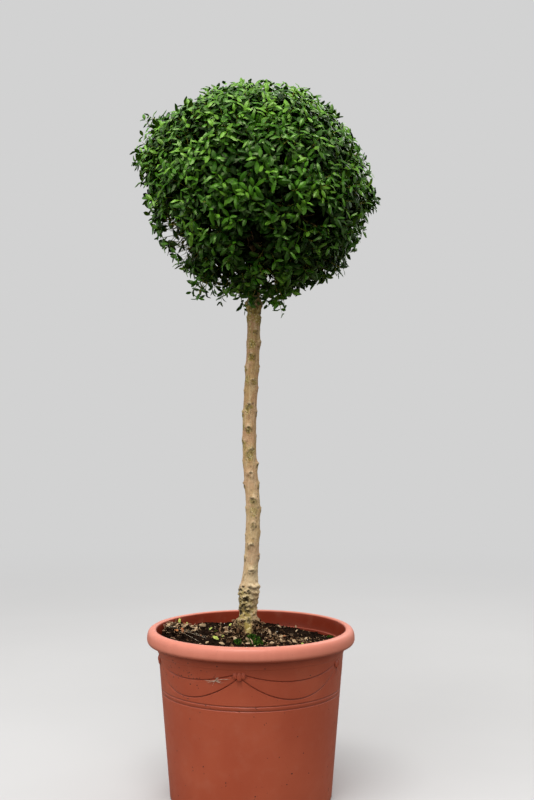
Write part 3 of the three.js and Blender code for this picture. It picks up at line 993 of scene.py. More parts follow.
@dataclass
class Litter:
    """What lies on the soil: crumbs, chips, perlite, leaves, straw and moss, joined by kind."""

    soil: Soil
    stem: "Stem"
    leaf: Stock
    reach: float = 171.0
    clear_of_foot: float = 25.0
    heap_x: float = -152.0
    seed: int = 31
    rng: Random = field(init=False)

    def __post_init__(self) -> None:
        """Start the row of random numbers."""
        self.rng = np.random.default_rng(self.seed)

    def spots(self, count: int, middle: tuple = (0, 0), spread: float = 168.0) -> Array:
        """Places on the soil's surface inside the pot and off the stem.

        Args:
            count: How many are wanted.
            middle: Middle of the patch.
            spread: Radius of the patch.

        Returns:
            The places.
        """
        radius = spread * np.sqrt(self.rng.random(count))
        angle = self.rng.random(count) * TURN
        x = middle[0] + radius * np.cos(angle)
        y = middle[1] + radius * np.sin(angle)
        foot = self.soil.foot
        off = np.hypot(x - foot[0], y - foot[1]) > self.clear_of_foot
        keep = (np.hypot(x, y) < self.reach) & off
        x, y = x[keep], y[keep]
        return np.stack([x, y, self.soil.surface(x, y)], axis=1)

    def on_the_foot(self, count: int) -> Array:
        """Places on the stem's flare and burls, with the strip at the front left bare.

        Args:
            count: How many are wanted.

        Returns:
            The places.
        """
        z = self.soil.foot[2] + 24 * self.rng.random(count) ** 1.4
        angle = np.radians(self.rng.uniform(-68, 248, count))
        radius = self.stem.radius(z, angle) + self.rng.uniform(0.2, 2.2, count)
        level = np.stack([np.cos(angle), np.sin(angle)], axis=1) * radius[:, None]
        return np.column_stack([self.stem.centre(z) + level, z])

    def heaped(self, spots: Array, y: float = 44.0, width: float = 44.0) -> Array:
        """1 in the middle of the heap at the pot's left edge, and less away from it."""
        return bell(np.hypot(spots[:, 0] - self.heap_x, spots[:, 1] - y), width)

    def frames(self, sizes: Array, tilt: float) -> Array:
        """Axes of pieces that lie about level, each turned at random.

        Args:
            sizes: Scale of each piece.
            tilt: How far they lean, from 0 to 1.

        Returns:
            The axes.
        """
        along = unit(self.rng.normal(size=(len(sizes), 3)) * (1, 1, tilt))
        upper = unit(UP + self.rng.normal(size=(len(sizes), 3)) * tilt)
        across = unit(np.cross(along, upper))
        upper = np.cross(across, along)
        return np.stack([across, along, upper], axis=1) * sizes[:, None, None]

    def scatter(
        self, name: str, stock: Stock, spots: Array, frames: Array, finishes: Sequence, dealt: Array
    ) -> None:
        """One piece of litter: a shape at many spots, with finishes dealt out to the copies."""
        piece = mesh_from(*stock.lay_out(spots, frames), np.repeat(dealt, len(stock.faces)))
        finish_piece(piece, name, "soil", 50, finishes)

    def crumb(self) -> Stock:
        """Model a rough lump one millimetre in radius.

        Returns:
            The lump as stock.
        """
        bpy.ops.mesh.primitive_uv_sphere_add(segments=6, ring_count=4, radius=MM)
        lump = bpy.context.object
        points = places(lump)
        move_to(lump, points * (1 + 0.45 * rough(points * 9, 10, 2))[:, None])
        return Stock.from_object(lump)

    def chip(self) -> Stock:
        """Model a split sliver of bark, ten millimetres long.

        Returns:
            The sliver as stock.
        """
        bpy.ops.mesh.primitive_cube_add(size=MM)
        sliver = bpy.context.object
        sliver.scale = (3.4, 10, 1.1)
        bpy.ops.object.transform_apply(scale=True)
        with editing(sliver):
            pick(sliver, "edges", lambda edge: abs(edge.verts[0].co.y - edge.verts[1].co.y) > 1e-4)
            bpy.ops.mesh.subdivide(number_cuts=3)
        points = places(sliver)
        taper = 1 - 0.55 * np.abs(points[:, 1] / 5) ** 2
        points[:, 0] = points[:, 0] * taper + 0.25 * np.sin(points[:, 1] * 1.1)
        points[:, 2] = points[:, 2] * taper + 0.5 * np.cos(points[:, 1] * 0.45 + points[:, 0])
        move_to(sliver, points)
        return Stock.from_object(sliver)

    def strew_crumbs(self, crumb: Stock) -> None:
        """Strew crumbs of soil all over, in the heap and on the stem's foot.

        Args:
            crumb: The crumb.
        """
        parts = [self.spots(1160), self.spots(1000, (-138, 34), 58), self.on_the_foot(420)]
        counts = [len(part) for part in parts]
        spots = np.concatenate(parts)
        sizes = 1.1 + 2.6 * self.rng.random(len(spots)) ** 2.2
        sizes[-counts[2] :] *= 0.6
        heap = np.repeat([0.0, 1.0, 0.0], counts) * self.heaped(spots, 40, 50)
        heap = heap * self.rng.random(len(spots))
        spots[:, 2] += 11 * heap
        sizes += 1.8 * heap
        dark = Mottled("crumbs", (14, 8, 5), (38, 25, 16), 260, 0.0008, 0.95, 0.02)
        self.scatter("soil_crumbs", crumb, spots, self.frames(sizes, 0.8), [dark], np.zeros(len(spots)))

    def strew_chips(self) -> None:
        """Strew chips of bark, most of them at the right, in the heap and on the stem's foot."""
        rng, foot = self.rng, self.soil.foot[:2]
        near = self.on_the_foot(800)
        patches = [(560, (0, 0), 168), (760, foot, 70), (1060, (96, -20), 76)]
        patches += [(160, (-80, 60), 80), (460, (-142, 44), 46)]
        ground = np.concatenate([self.spots(*patch) for patch in patches])
        ground[:, 2] += 0.6 + 4 * rng.random(len(ground)) * bell(np.hypot(*(ground[:, :2] - foot).T), 44)
        sizes = 0.17 + 0.5 * rng.random(len(ground)) ** 2.4
        small = 0.2 + 0.26 * rng.random(len(near))
        ground[:, 2] += (7 + 6 * rng.random(len(ground))) * self.heaped(ground)
        lying = self.frames(sizes, 0.45)
        frames = np.concatenate([lying, self.frames(small, 1.0)])
        spots = np.concatenate([ground, near])
        dealt = rng.choice(3, len(spots), p=[0.38, 0.36, 0.26])
        browns = [
            Mottled("chip_tan", (140, 112, 80), (184, 152, 114), 300, shine=0.1),
            Mottled("chip_brown", (92, 64, 44), (128, 94, 66), 300, shine=0.1),
            Mottled("chip_dark", (44, 29, 20), (72, 50, 34), 300, shine=0.05),
        ]
        self.scatter("bark_chips", self.chip(), spots, frames, browns, dealt)

    def strew_perlite(self, crumb: Stock) -> None:
        """Strew a few white grains.

        Args:
            crumb: The crumb that they are shaped like.
        """
        spots = self.spots(30) + (0, 0, 0.8)
        frames = self.frames(0.6 + 0.8 * self.rng.random(len(spots)), 0.8)
        white = Mottled("perlite", (206, 202, 192), (238, 236, 230), 400)
        self.scatter("perlite", crumb, spots, frames, [white], np.zeros(len(spots)))

    def prop_leaves(self) -> tuple[Array, Array, list[int]]:
        """Place single leaves that lean on the litter and show their upper side.

        Returns:
            Their places, axes and kinds.
        """
        singles = ((-132, 8, 2, 0.5), (-139, 14, 2, 0.45), (-60, -52, 3, 0.66), (-84, 60, 3, 0.42))
        singles += ((-46, 90, 3, 0.5), (-58, 90, 0, 0.5), (-92, 96, 0, 0.6), (-104, 92, 0, 0.55))
        singles += ((-142, 52, 3, 0.5), (-150, 40, 0, 0.5), (-84, -62, 0, 0.5), (-48, -72, 0, 0.5))
        singles += ((60, -40, 0, 0.4), (88, -20, 0, 0.5), (104, 10, 0, 0.4), (30, -70, 1, 0.4))
        placed = np.array([(x, y, 0) for x, y, _, _ in singles], dtype=float)
        placed[:, 2] = self.soil.surface(placed[:, 0], placed[:, 1]) + 3
        placed[:, 2] += 9 * self.heaped(placed)
        upper = unit(np.array([0, -0.72, 0.6]) + self.rng.normal(size=placed.shape) * 0.25)
        level = unit(self.rng.normal(size=placed.shape) * (1, 0.3, 0.2) + 0.75 * UP)
        across = unit(np.cross(level, upper))
        sizes = np.array([size for *_, size in singles])
        propped = np.stack([across, np.cross(upper, across), upper], axis=1) * sizes[:, None, None]
        return placed, propped, [kind for _, _, kind, _ in singles]

    def lay_leaves(self) -> None:
        """Drop dead leaves all over and round the foot, and a few that are still green."""
        patches = [(90, (0, 0), 168), (170, self.soil.foot[:2], 70), (90, (-140, 44), 46)]
        spots = np.concatenate([self.spots(*patch) for patch in patches])
        spots[:, 2] += 1 + 13 * self.heaped(spots)
        spots = np.concatenate([spots, self.on_the_foot(50)])
        frames = self.frames(0.26 + 0.34 * self.rng.random(len(spots)), 0.6)
        dealt = self.rng.choice(4, len(spots), p=[0.42, 0.47, 0.04, 0.07])
        placed, propped, singles = self.prop_leaves()
        kinds = [
            Mottled("leaf_straw", (148, 120, 88), (190, 164, 128), 260),
            Mottled("leaf_brown", (88, 62, 40), (126, 94, 62), 260),
            Mottled("leaf_rust", (138, 76, 34), (170, 104, 50), 260, roughness=0.6),
            Mottled("leaf_yellow", (142, 156, 56), (180, 188, 88), 260, roughness=0.5),
        ]
        spots, frames = np.concatenate([spots, placed]), np.concatenate([frames, propped])
        self.scatter("fallen_leaves", self.leaf, spots, frames, kinds, np.concatenate([dealt, singles]))

    def lay_stalks(self, name: str, control: Array, radii: Array, sides: int, finish: Mottled) -> None:
        """Lay thin bent stalks, given by control points and by radii along each."""
        points, faces = tubes(bezier(control, np.linspace(0, 1, radii.shape[1])), radii, sides)
        finish_piece(mesh_from(points, faces, np.zeros(len(faces))), name, "soil", 70, [finish])

    def lay_straw(self) -> None:
        """Lay dry stalks across the left of the soil, one end on the rim's edge."""
        lines = []
        for stalk in range(3):
            start = np.array([-172 + 6 * self.rng.random(), 58 - 14 * stalk, 321])
            end = np.array([-128 + 52 * self.rng.random(), -18 - 15 * stalk, 0])
            end[2] = self.soil.height(end[:1], end[1:2])[0] + 2
            middle = (start + end) / 2 + self.rng.normal(size=3) * (12, 12, 1.5) + (0, 0, 1)
            lines.append([start, middle, end])
        radii = np.tile(np.linspace(0.26, 0.16, 12), (len(lines), 1))
        straw = Mottled("straw", (168, 150, 122), (206, 192, 166), 220, 0.0003)
        self.lay_stalks("dry_stalks", np.array(lines), radii, 6, straw)

    def stick_seed_head(self) -> None:
        """Stick a dried seed head, a stalk with fine hairs, to the front of the pot."""
        hub = np.array([-62.0, 261.0])
        ends = hub + unit(self.rng.normal(size=(18, 2))) * self.rng.uniform(6, 22, (18, 1)) * (1, 0.5)
        ends[0] = hub + (28, 4)
        bends = (hub + ends) / 2 + self.rng.normal(size=ends.shape) * 1.4
        flat = np.stack([np.tile(hub, (len(ends), 1)), bends, ends], axis=1)
        away = self.soil.pot.radius(flat[:, :, 1]) + np.array([1.6, 4.5, 2.4])
        depth = -np.sqrt(away**2 - flat[:, :, 0] ** 2)
        lines = np.stack([flat[:, :, 0], depth, flat[:, :, 1]], axis=2)
        radii = np.tile(np.linspace(0.26, 0.12, 6), (len(lines), 1))
        radii[0] *= 2
        down = Mottled("seed_down", (176, 160, 138), (214, 200, 180), 220, 0.0003)
        self.lay_stalks("seed_head", lines, radii, 4, down)

    def raise_moss(self) -> None:
        """Raise tufts of moss before the foot and small weeds at the edge."""
        patches = ((620, (6, -50), 15), (130, (-24, -62), 8), (200, (160, 52), 9), (120, (-128, 60), 8))
        roots = np.concatenate([self.spots(*patch) for patch in patches])
        count = len(roots)
        lean = unit(UP + self.rng.normal(size=(count, 3)) * 0.55)
        tips = roots + lean * self.rng.uniform(3, 8, (count, 1))
        middles = (roots + tips) / 2 + self.rng.normal(size=(count, 3)) * 0.8
        lines = bezier(np.stack([roots - (0, 0, 1), middles, tips], axis=1), np.linspace(0, 1, 4))
        points, faces = tubes(lines, np.tile([0.7, 0.85, 0.6, 0], (count, 1)), 3)
        dealt = np.repeat(self.rng.choice(2, count, p=[0.65, 0.35]), len(faces) // count)
        moss = [
            Mottled("moss_deep", (16, 38, 5), (30, 60, 10), 260, 0.0003, shine=0.1),
            Mottled("moss_light", (44, 82, 14), (78, 112, 30), 260, 0.0003, shine=0.1),
        ]
        finish_piece(mesh_from(points, faces, dealt), "moss", "soil", 80, moss)

    def build(self) -> None:
        """Lay out every kind of litter."""
        crumb = self.crumb()
        self.strew_crumbs(crumb)
        self.strew_chips()
        self.strew_perlite(crumb)
        self.lay_leaves()
        self.lay_straw()
        self.stick_seed_head()
        self.raise_moss()


# ---- stem ----


@dataclass
class Knob:
    """A swelling on the stem: where it is, and how far it stands proud."""

    z: float
    angle: float
    proud: float


@dataclass
class Wall:
    """The stem's wall while it is carved, and the masks of its colours."""

    stem: "Stem"
    z: Array
    angle: Array
    seed: int = 8

    def __post_init__(self) -> None:
        """Start plain, with wavy lines to carve along."""
        self.rng = np.random.default_rng(self.seed)
        self.proud, self.pits, self.algae, self.pale = (np.zeros_like(self.z) for _ in range(4))
        self.at = np.column_stack([np.cos(self.angle) * 14, np.sin(self.angle) * 14, self.z])
        self.ragged = rough(self.at + 90, 2.4, 3)
        self.freckled = rough(self.at, 2.6, 2) > 0.24
        bent = 2.4 * rough(self.at + 20, 3.4, 3), 0.17 * rough(self.at + 60, 3.4, 3)
        self.gnarled = self.z + bent[0], self.angle + bent[1]
        self.z = self.z + 1.3 * rough(self.at, 5, 2)
        self.angle = self.angle + 0.1 * rough(self.at + 40, 5, 2)
        self.worn = 0.3 + 0.7 * smoothstep(-np.cos(self.angle + 0.2), -0.7, -0.1)

    def darken(self, mask: Array) -> None:
        """Lay a mask over the dark pits, which also carry painted shadow lines."""
        self.pits = np.maximum(self.pits, mask)

    def near(self, z: float, angle: float, width: float, gnarled: bool = False) -> Array:
        """1 at a place and less away from it, over a width, along wavy or gnarled lines."""
        lines = self.gnarled if gnarled else (self.z, self.angle)
        return self.stem.beside(Knob(z, angle, 0), *lines, width)

    def arch(self, z: float, angle: float, width: float) -> Array:
        """1 on a curved ridge over a place, like a brow, and 0 away from it."""
        across = np.arctan2(np.sin(self.angle - angle), np.cos(self.angle - angle)) * self.stem.low_radius
        return bell(self.z - (z + 1.6 - 0.09 * across**2), 1.5) * bell(across, width)

    def scar(self, knob: Knob) -> None:
        """Scar a pruned stub: a brow over a pit, a painted shadow line under the brow, dark marks, and algae
        below.

        Args:
            knob: The stub.
        """
        rng, z, big = self.rng, knob.z, (knob.proud - 1) / 3
        scar = rng.choice((0.2, 0.6, 1.0), p=(0.22, 0.3, 0.48)) + 0.25 * big
        lift, turned = rng.uniform(0.5, 3.5), knob.angle + rng.uniform(-0.2, 0.2)
        ridge = self.arch(z + lift, turned, 3.6 + 1.8 * big)
        pit = self.near(z - 1.4 + lift / 3, turned, 1.3 + 1.0 * big)
        # A painted shadow line under the brow, also sunk a little.
        lip_shadow = self.arch(z + lift - 2.8, turned, 4 + 2 * big)
        self.proud += (0.6 + 0.9 * big) * ridge - (0.4 + 1.6 * big) * pit - 0.5 * lip_shadow * scar
        self.pale = np.maximum(self.pale, 0.8 * ridge)
        self.darken(pit * min(1.0, scar))
        self.darken(min(0.9, scar) * lip_shadow * (self.ragged > -0.15))
        for _ in range(10):
            place = z - rng.uniform(-3, 9), knob.angle + rng.uniform(-0.5, 0.5)
            spot = self.near(*place, rng.uniform(0.9, 2.0))
            self.darken(0.9 * spot * (rng.random() < scar))
            self.proud -= 0.4 * spot
        self.algae = np.maximum(self.algae, self.near(z - 3.5, turned, 8.5) * min(1.0, scar))

    def smear(self, z: float, angle: float, size: float) -> None:
        """Smear algae over a round patch, with dark freckles in it."""
        patch = self.near(z, angle, 1.2 * size)
        self.algae = np.maximum(self.algae, 0.95 * patch)
        self.darken(0.8 * patch * self.freckled)

    def wart(self) -> None:
        """Raise a small wart with a pit in it somewhere on the stem."""
        z, angle, proud = (self.rng.uniform(*ends) for ends in ((325, 965), (0, TURN), (0.3, 1.0)))
        size = self.rng.uniform(1.0, 2.2)
        pit = self.near(z, angle, size)
        self.proud += proud * self.near(z, angle, 1.9 * size) - 1.1 * proud * pit
        self.darken(0.6 * pit * (proud > 0.6))

    def gnarl(self) -> None:
        """Raise a lump with a dark hollow under it on the burr, the lump paler: cream bark with a painted
        highlight.
        """
        z, angle, proud = (self.rng.uniform(*ends) for ends in ((338, 408), (0, TURN), (0.8, 2.6)))
        size = self.rng.uniform(1.1, 2.7)
        lump = self.near(z, angle, 1.6 * size, True)
        # Paler lumps: the burr's cream bark, with a painted highlight on the raised lumps.
        self.pale = np.maximum(self.pale, lump * self.rng.uniform(0.0, 0.9))
        pit = self.near(z - 2.2, angle + 0.1, size, True)
        self.proud += 0.8 * proud * lump - 1.2 * proud * pit * self.worn
        dark = smoothstep(pit * (1 + 0.8 * self.ragged), 0.1, 0.34) * self.worn
        self.darken(dark * (proud > 0.9))

    def notch(self) -> None:
        """Cut a notch with a ridge over it in the collar under the crown."""
        z, angle, deep = (self.rng.uniform(*ends) for ends in ((926, 952), (0, TURN), (0.8, 2.0)))
        hole = self.near(z, angle, self.rng.uniform(1.2, 2.6))
        self.proud += 1.2 * self.near(z + 3, angle, 3.4) - deep * hole
        self.darken(0.8 * hole)

    def weather(self) -> Array:
        """Wave the wall a little, and lay algae, pale bark and fibres along it.

        Returns:
            The masks of pits, algae and pale bark.
        """
        z, angle = self.z, self.angle
        ledge = smoothstep(z, 936, 944) * smoothstep(-z, -954, -949)
        self.proud += 1.2 * ledge + 0.35 * np.sin(3 * angle + z / 60) + 0.25 * np.sin(5 * angle - z / 37)
        burr = bell(z - 372, 36) * smoothstep(-z, -414, -400) * (0.3 + self.worn)
        strip = smoothstep(-z, -372, -356) * bell(angle + 1.6, 0.5)
        upper = 0.34 * smoothstep(z, 800, 930) + 0.5 * bell(z - 936, 20)
        algae = self.algae + np.maximum(burr, strip) + upper
        light = 0.75 * bell(z - 424, 34) * np.clip(0.8 + 0.5 * np.cos(angle), 0, 1)
        pale = self.pale + light + 0.35 * bell(z - 520, 120)
        fibrous = smoothstep(-z, -350, -338) * (1 - np.clip(strip, 0, 1))
        pits = self.pits + 0.8 * fibrous * (0.5 + 1.6 * rough(self.at, 3, 3))
        return np.clip(np.stack([pits, algae, pale, np.ones_like(z)], axis=1), 0, 1)


@dataclass
class Stem:
    """The bare stem, which runs on through the crown as its leader."""

    line: tuple = (
        (-5, 2, 316), (-5, 1, 380), (2, -1, 480), (4, -2, 560), (-2, 0, 645), (-3, 2, 705), (0, 2, 785),
        (4, 0, 870), (6, -1, 950), (9, 0, 1060), (8, 0, 1262),
    )
    low_radius: float = 14.0
    high_radius: float = 12.2
    tip_radius: float = 4.5
    crown_start: float = 950.0
    collar_swell: float = 3.6
    collar_width: float = 9.0
    foot_swell: float = 5.2
    foot_swell_height: float = 392.0
    foot_swell_width: float = 26.0
    flare: float = 11.0
    flare_lobes: int = 5
    flare_height: float = 16.0
    stub_width: float = 7.5
    burl_width: float = 11.0
    smears: tuple = (
        (803, -138, 8), (799, -52, 6), (748, -112, 10), (712, -155, 6), (678, -146, 8), (655, -92, 9),
        (549, -84, 9), (439, -44, 7), (620, 40, 9), (766, 92, 10), (508, 118, 8), (586, 165, 7),
        (872, -98, 7),
    )
    sides: int = 72
    rings: int = 560
    path: Array = field(init=False)

    def __post_init__(self) -> None:
        """Trace the centre line finely."""
        self.path = self.trace(np.array(self.line, dtype=float))

    @staticmethod
    def trace(knots: Array) -> Array:
        """A centripetal Catmull-Rom curve through points.

        Args:
            knots: The points.

        Returns:
            Closely spaced points on the curve.
        """
        ends = [2 * knots[0] - knots[1]], [2 * knots[-1] - knots[-2]]
        points = np.concatenate([ends[0], knots, ends[1]])
        traced = []
        for a, b, c, d in zip(points, points[1:], points[2:], points[3:]):
            gaps = [math.sqrt(norm(q - p)) for p, q in ((a, b), (b, c), (c, d))]
            first = (b - a) / gaps[0] - (c - a) / (gaps[0] + gaps[1]) + (c - b) / gaps[1]
            last = (c - b) / gaps[1] - (d - b) / (gaps[1] + gaps[2]) + (d - c) / gaps[2]
            first, last = first * gaps[1], last * gaps[1]
            t = np.linspace(0, 1, 40, endpoint=False)[:, None]
            cubic = 2 * b - 2 * c + first + last
            square = -3 * b + 3 * c - 2 * first - last
            traced.append(b + first * t + square * t**2 + cubic * t**3)
        return np.concatenate([*traced, knots[-1:]])

    def centre(self, z: Array) -> Array:
        """The middle of the stem at heights, shape (heights, 2)."""
        return np.stack([np.interp(z, self.path[:, 2], self.path[:, i]) for i in (0, 1)], axis=-1)

    def at_share(self, share: float) -> Array:
        """The point at a share of the centre line's length."""
        length = np.cumsum([0, *norm(np.diff(self.path, axis=0), axis=1)])
        return np.array([np.interp(share * length[-1], length, self.path[:, i]) for i in range(3)])

    def stubs(self) -> list[Knob]:
        """Pruned stubs in opposite pairs, each pair a quarter turn on from the one below.

        Returns:
            The stubs.
        """
        random = Seeded(5)
        knobs, quarter, z = [], 0.0, 436
        while z <= 944:
            quarter += TURN / 4
            for half in (0, TURN / 2):
                height = z + (random() - 0.5) * self.stub_width
                angle = quarter + half + (random() - 0.5) * 0.5
                knobs.append(Knob(height, angle, lerp(1, 4, random() ** 1.5)))
            z += 23
        return knobs

    def burls(self) -> list[Knob]:
        """The two knobs of the root crown, left and right of the foot."""
        return [Knob(331, math.radians(197), 14), Knob(334, math.radians(-18), 7.5)]

    def beside(self, knob: Knob, z: Array, angle: Array, width: float) -> Array:
        """1 at a knob and less away from it, over a width."""
        turned = np.arctan2(np.sin(angle - knob.angle), np.cos(angle - knob.angle))
        return bell(z - knob.z, width) * bell(turned * self.low_radius, width)

    def leader_radius(self, z: Array) -> Array:
        """The radius of the leader, from the crown's start up to its tip."""
        leader = np.clip((z - self.crown_start) / (self.line[-1][2] - self.crown_start), 0, 1)
        return lerp(self.high_radius, self.tip_radius, leader**0.6)

    def radius(self, z: Array, angle: Array) -> Array:
        """The radius by the plant's own rule.

        Args:
            z: Heights.
            angle: Angles.

        Returns:
            The radii.
        """
        foot = self.line[0][2]
        bare = (z - foot) / (self.crown_start - foot)
        low = lerp(self.low_radius, self.high_radius, bare)
        radius = np.where(bare < 1, low, self.leader_radius(z))
        lobes = 0.7 + 0.3 * np.cos(self.flare_lobes * angle + 1)
        radius += self.flare * np.exp((foot - z) / self.flare_height) * lobes
        radius += self.foot_swell * bell(z - self.foot_swell_height, self.foot_swell_width)
        radius += self.collar_swell * bell(z - self.crown_start, self.collar_width)
        for knobs, width in ((self.stubs(), self.stub_width), (self.burls(), self.burl_width)):
            for knob in knobs:
                radius += knob.proud * self.beside(knob, z, angle, width)
        return radius

    def carve(self, z: Array, angle: Array) -> tuple[Array, Array]:
        """Fine relief on the wall, and the masks of its colours.

        Args:
            z: Heights of the vertices.
            angle: Their angles.

        Returns:
            How far each stands proud, and the masks of pits, algae and pale bark.
        """
        wall = Wall(self, z, angle)
        for knob in self.stubs():
            wall.scar(knob)
        for height, degrees, size in self.smears:
            wall.smear(height, math.radians(degrees), size)
        for mark, count in ((wall.wart, 170), (wall.gnarl, 210), (wall.notch, 46)):
            for _ in range(count):
                mark()
        marks = wall.weather()
        return wall.proud, marks

    def build(self) -> None:
        """Model the stem and hang it in the frame."""
        foot, tip = self.line[0][2], self.line[-1][2]
        body = column(self.sides, self.rings, foot, tip, self.low_radius)
        points = places(body)
        angle = np.arctan2(points[:, 1], points[:, 0])
        wall = np.hypot(points[:, 0], points[:, 1]) > 1
        z = points[:, 2]
        proud, marks = self.carve(z, angle)
        calm = smoothstep(z, foot, foot + 6) * smoothstep(-z, -tip, -tip + 6)
        round_the_pole = np.stack([np.cos(angle), np.sin(angle)], axis=1)
        fine = rough(np.column_stack([round_the_pole * 14, z * 0.45]), 3.2, 3) * 0.42
        knobbly = rough(np.column_stack([round_the_pole * 14, z]), 5.5, 3)
        fine += knobbly * (2.2 * bell(z - 366, 34) + 0.9 * bell(z - 944, 16))
        radius = self.radius(z, angle) + (proud + fine) * calm
        points[:, :2] = self.centre(z) + round_the_pole * (radius * wall)[:, None]
        move_to(body, points)
        mark_points(body, marks)
        finish_piece(body, "stem_bark", "bark", 60, [Bark()], ["stem"])


# ---- crown ----


@dataclass
class Ball:
    """The outline that the crown is clipped to."""

    centre: Array = field(default_factory=lambda: np.array([11.0, 0.0, 1176.0]))
    radius: float = 226.0
    up: float = 201.0
    down: float = 220.0
    lean: float = 0.13
    squareness: float = 2.05
    lumps: float = 0.018

    def reach(self, towards: Array) -> Array:
        """How far the leaf tips reach from the centre.

        Args:
            towards: Directions from the centre.

        Returns:
            The distances.
        """
        x, y, z = (towards[..., i] for i in range(3))
        aside = np.hypot(x, y)
        level = aside / self.radius
        upright = np.abs(z) / np.where(z > 0, self.up, self.down)
        smooth = (level**self.squareness + upright**self.squareness) ** (-1 / self.squareness)
        lumps = np.sin(5 * x + 1) * np.sin(4 * y + 2) * np.cos(6 * z)
        return smooth * (1 - self.lumps * lumps - self.lean * x * z * aside**4)

    def at(self, towards: Array, share: float | Array) -> Array:
        """Points at a share of the reach in directions."""
        return self.centre + towards * (self.reach(towards) * share)[..., None]


@dataclass
class Tier:
    """A level ring of masses: the middles of their cells, and where their boughs start."""

    name: str
    count: int
    polar: float
    turn: float
    first_height: float = 0.0
    rise: float = 0.0
    root_radius: float = 0.0


@dataclass
class Mass:
    """One mass of foliage: its cell's axis and the limb that carries it."""

    name: str
    axis: Array
    carried: Array
    heading: Array
    bough: Array | None = None
    root_radius: float = 0.0


@dataclass
class Growth:
    """Twigs of one level: directions from the ball's centre, masses and control points."""

    axes: Array
    owner: Array
    lines: Array

    def take(self, keep: Array) -> "Growth":
        """Only some of the twigs."""
        return Growth(self.axes[keep], self.owner[keep], self.lines[keep])


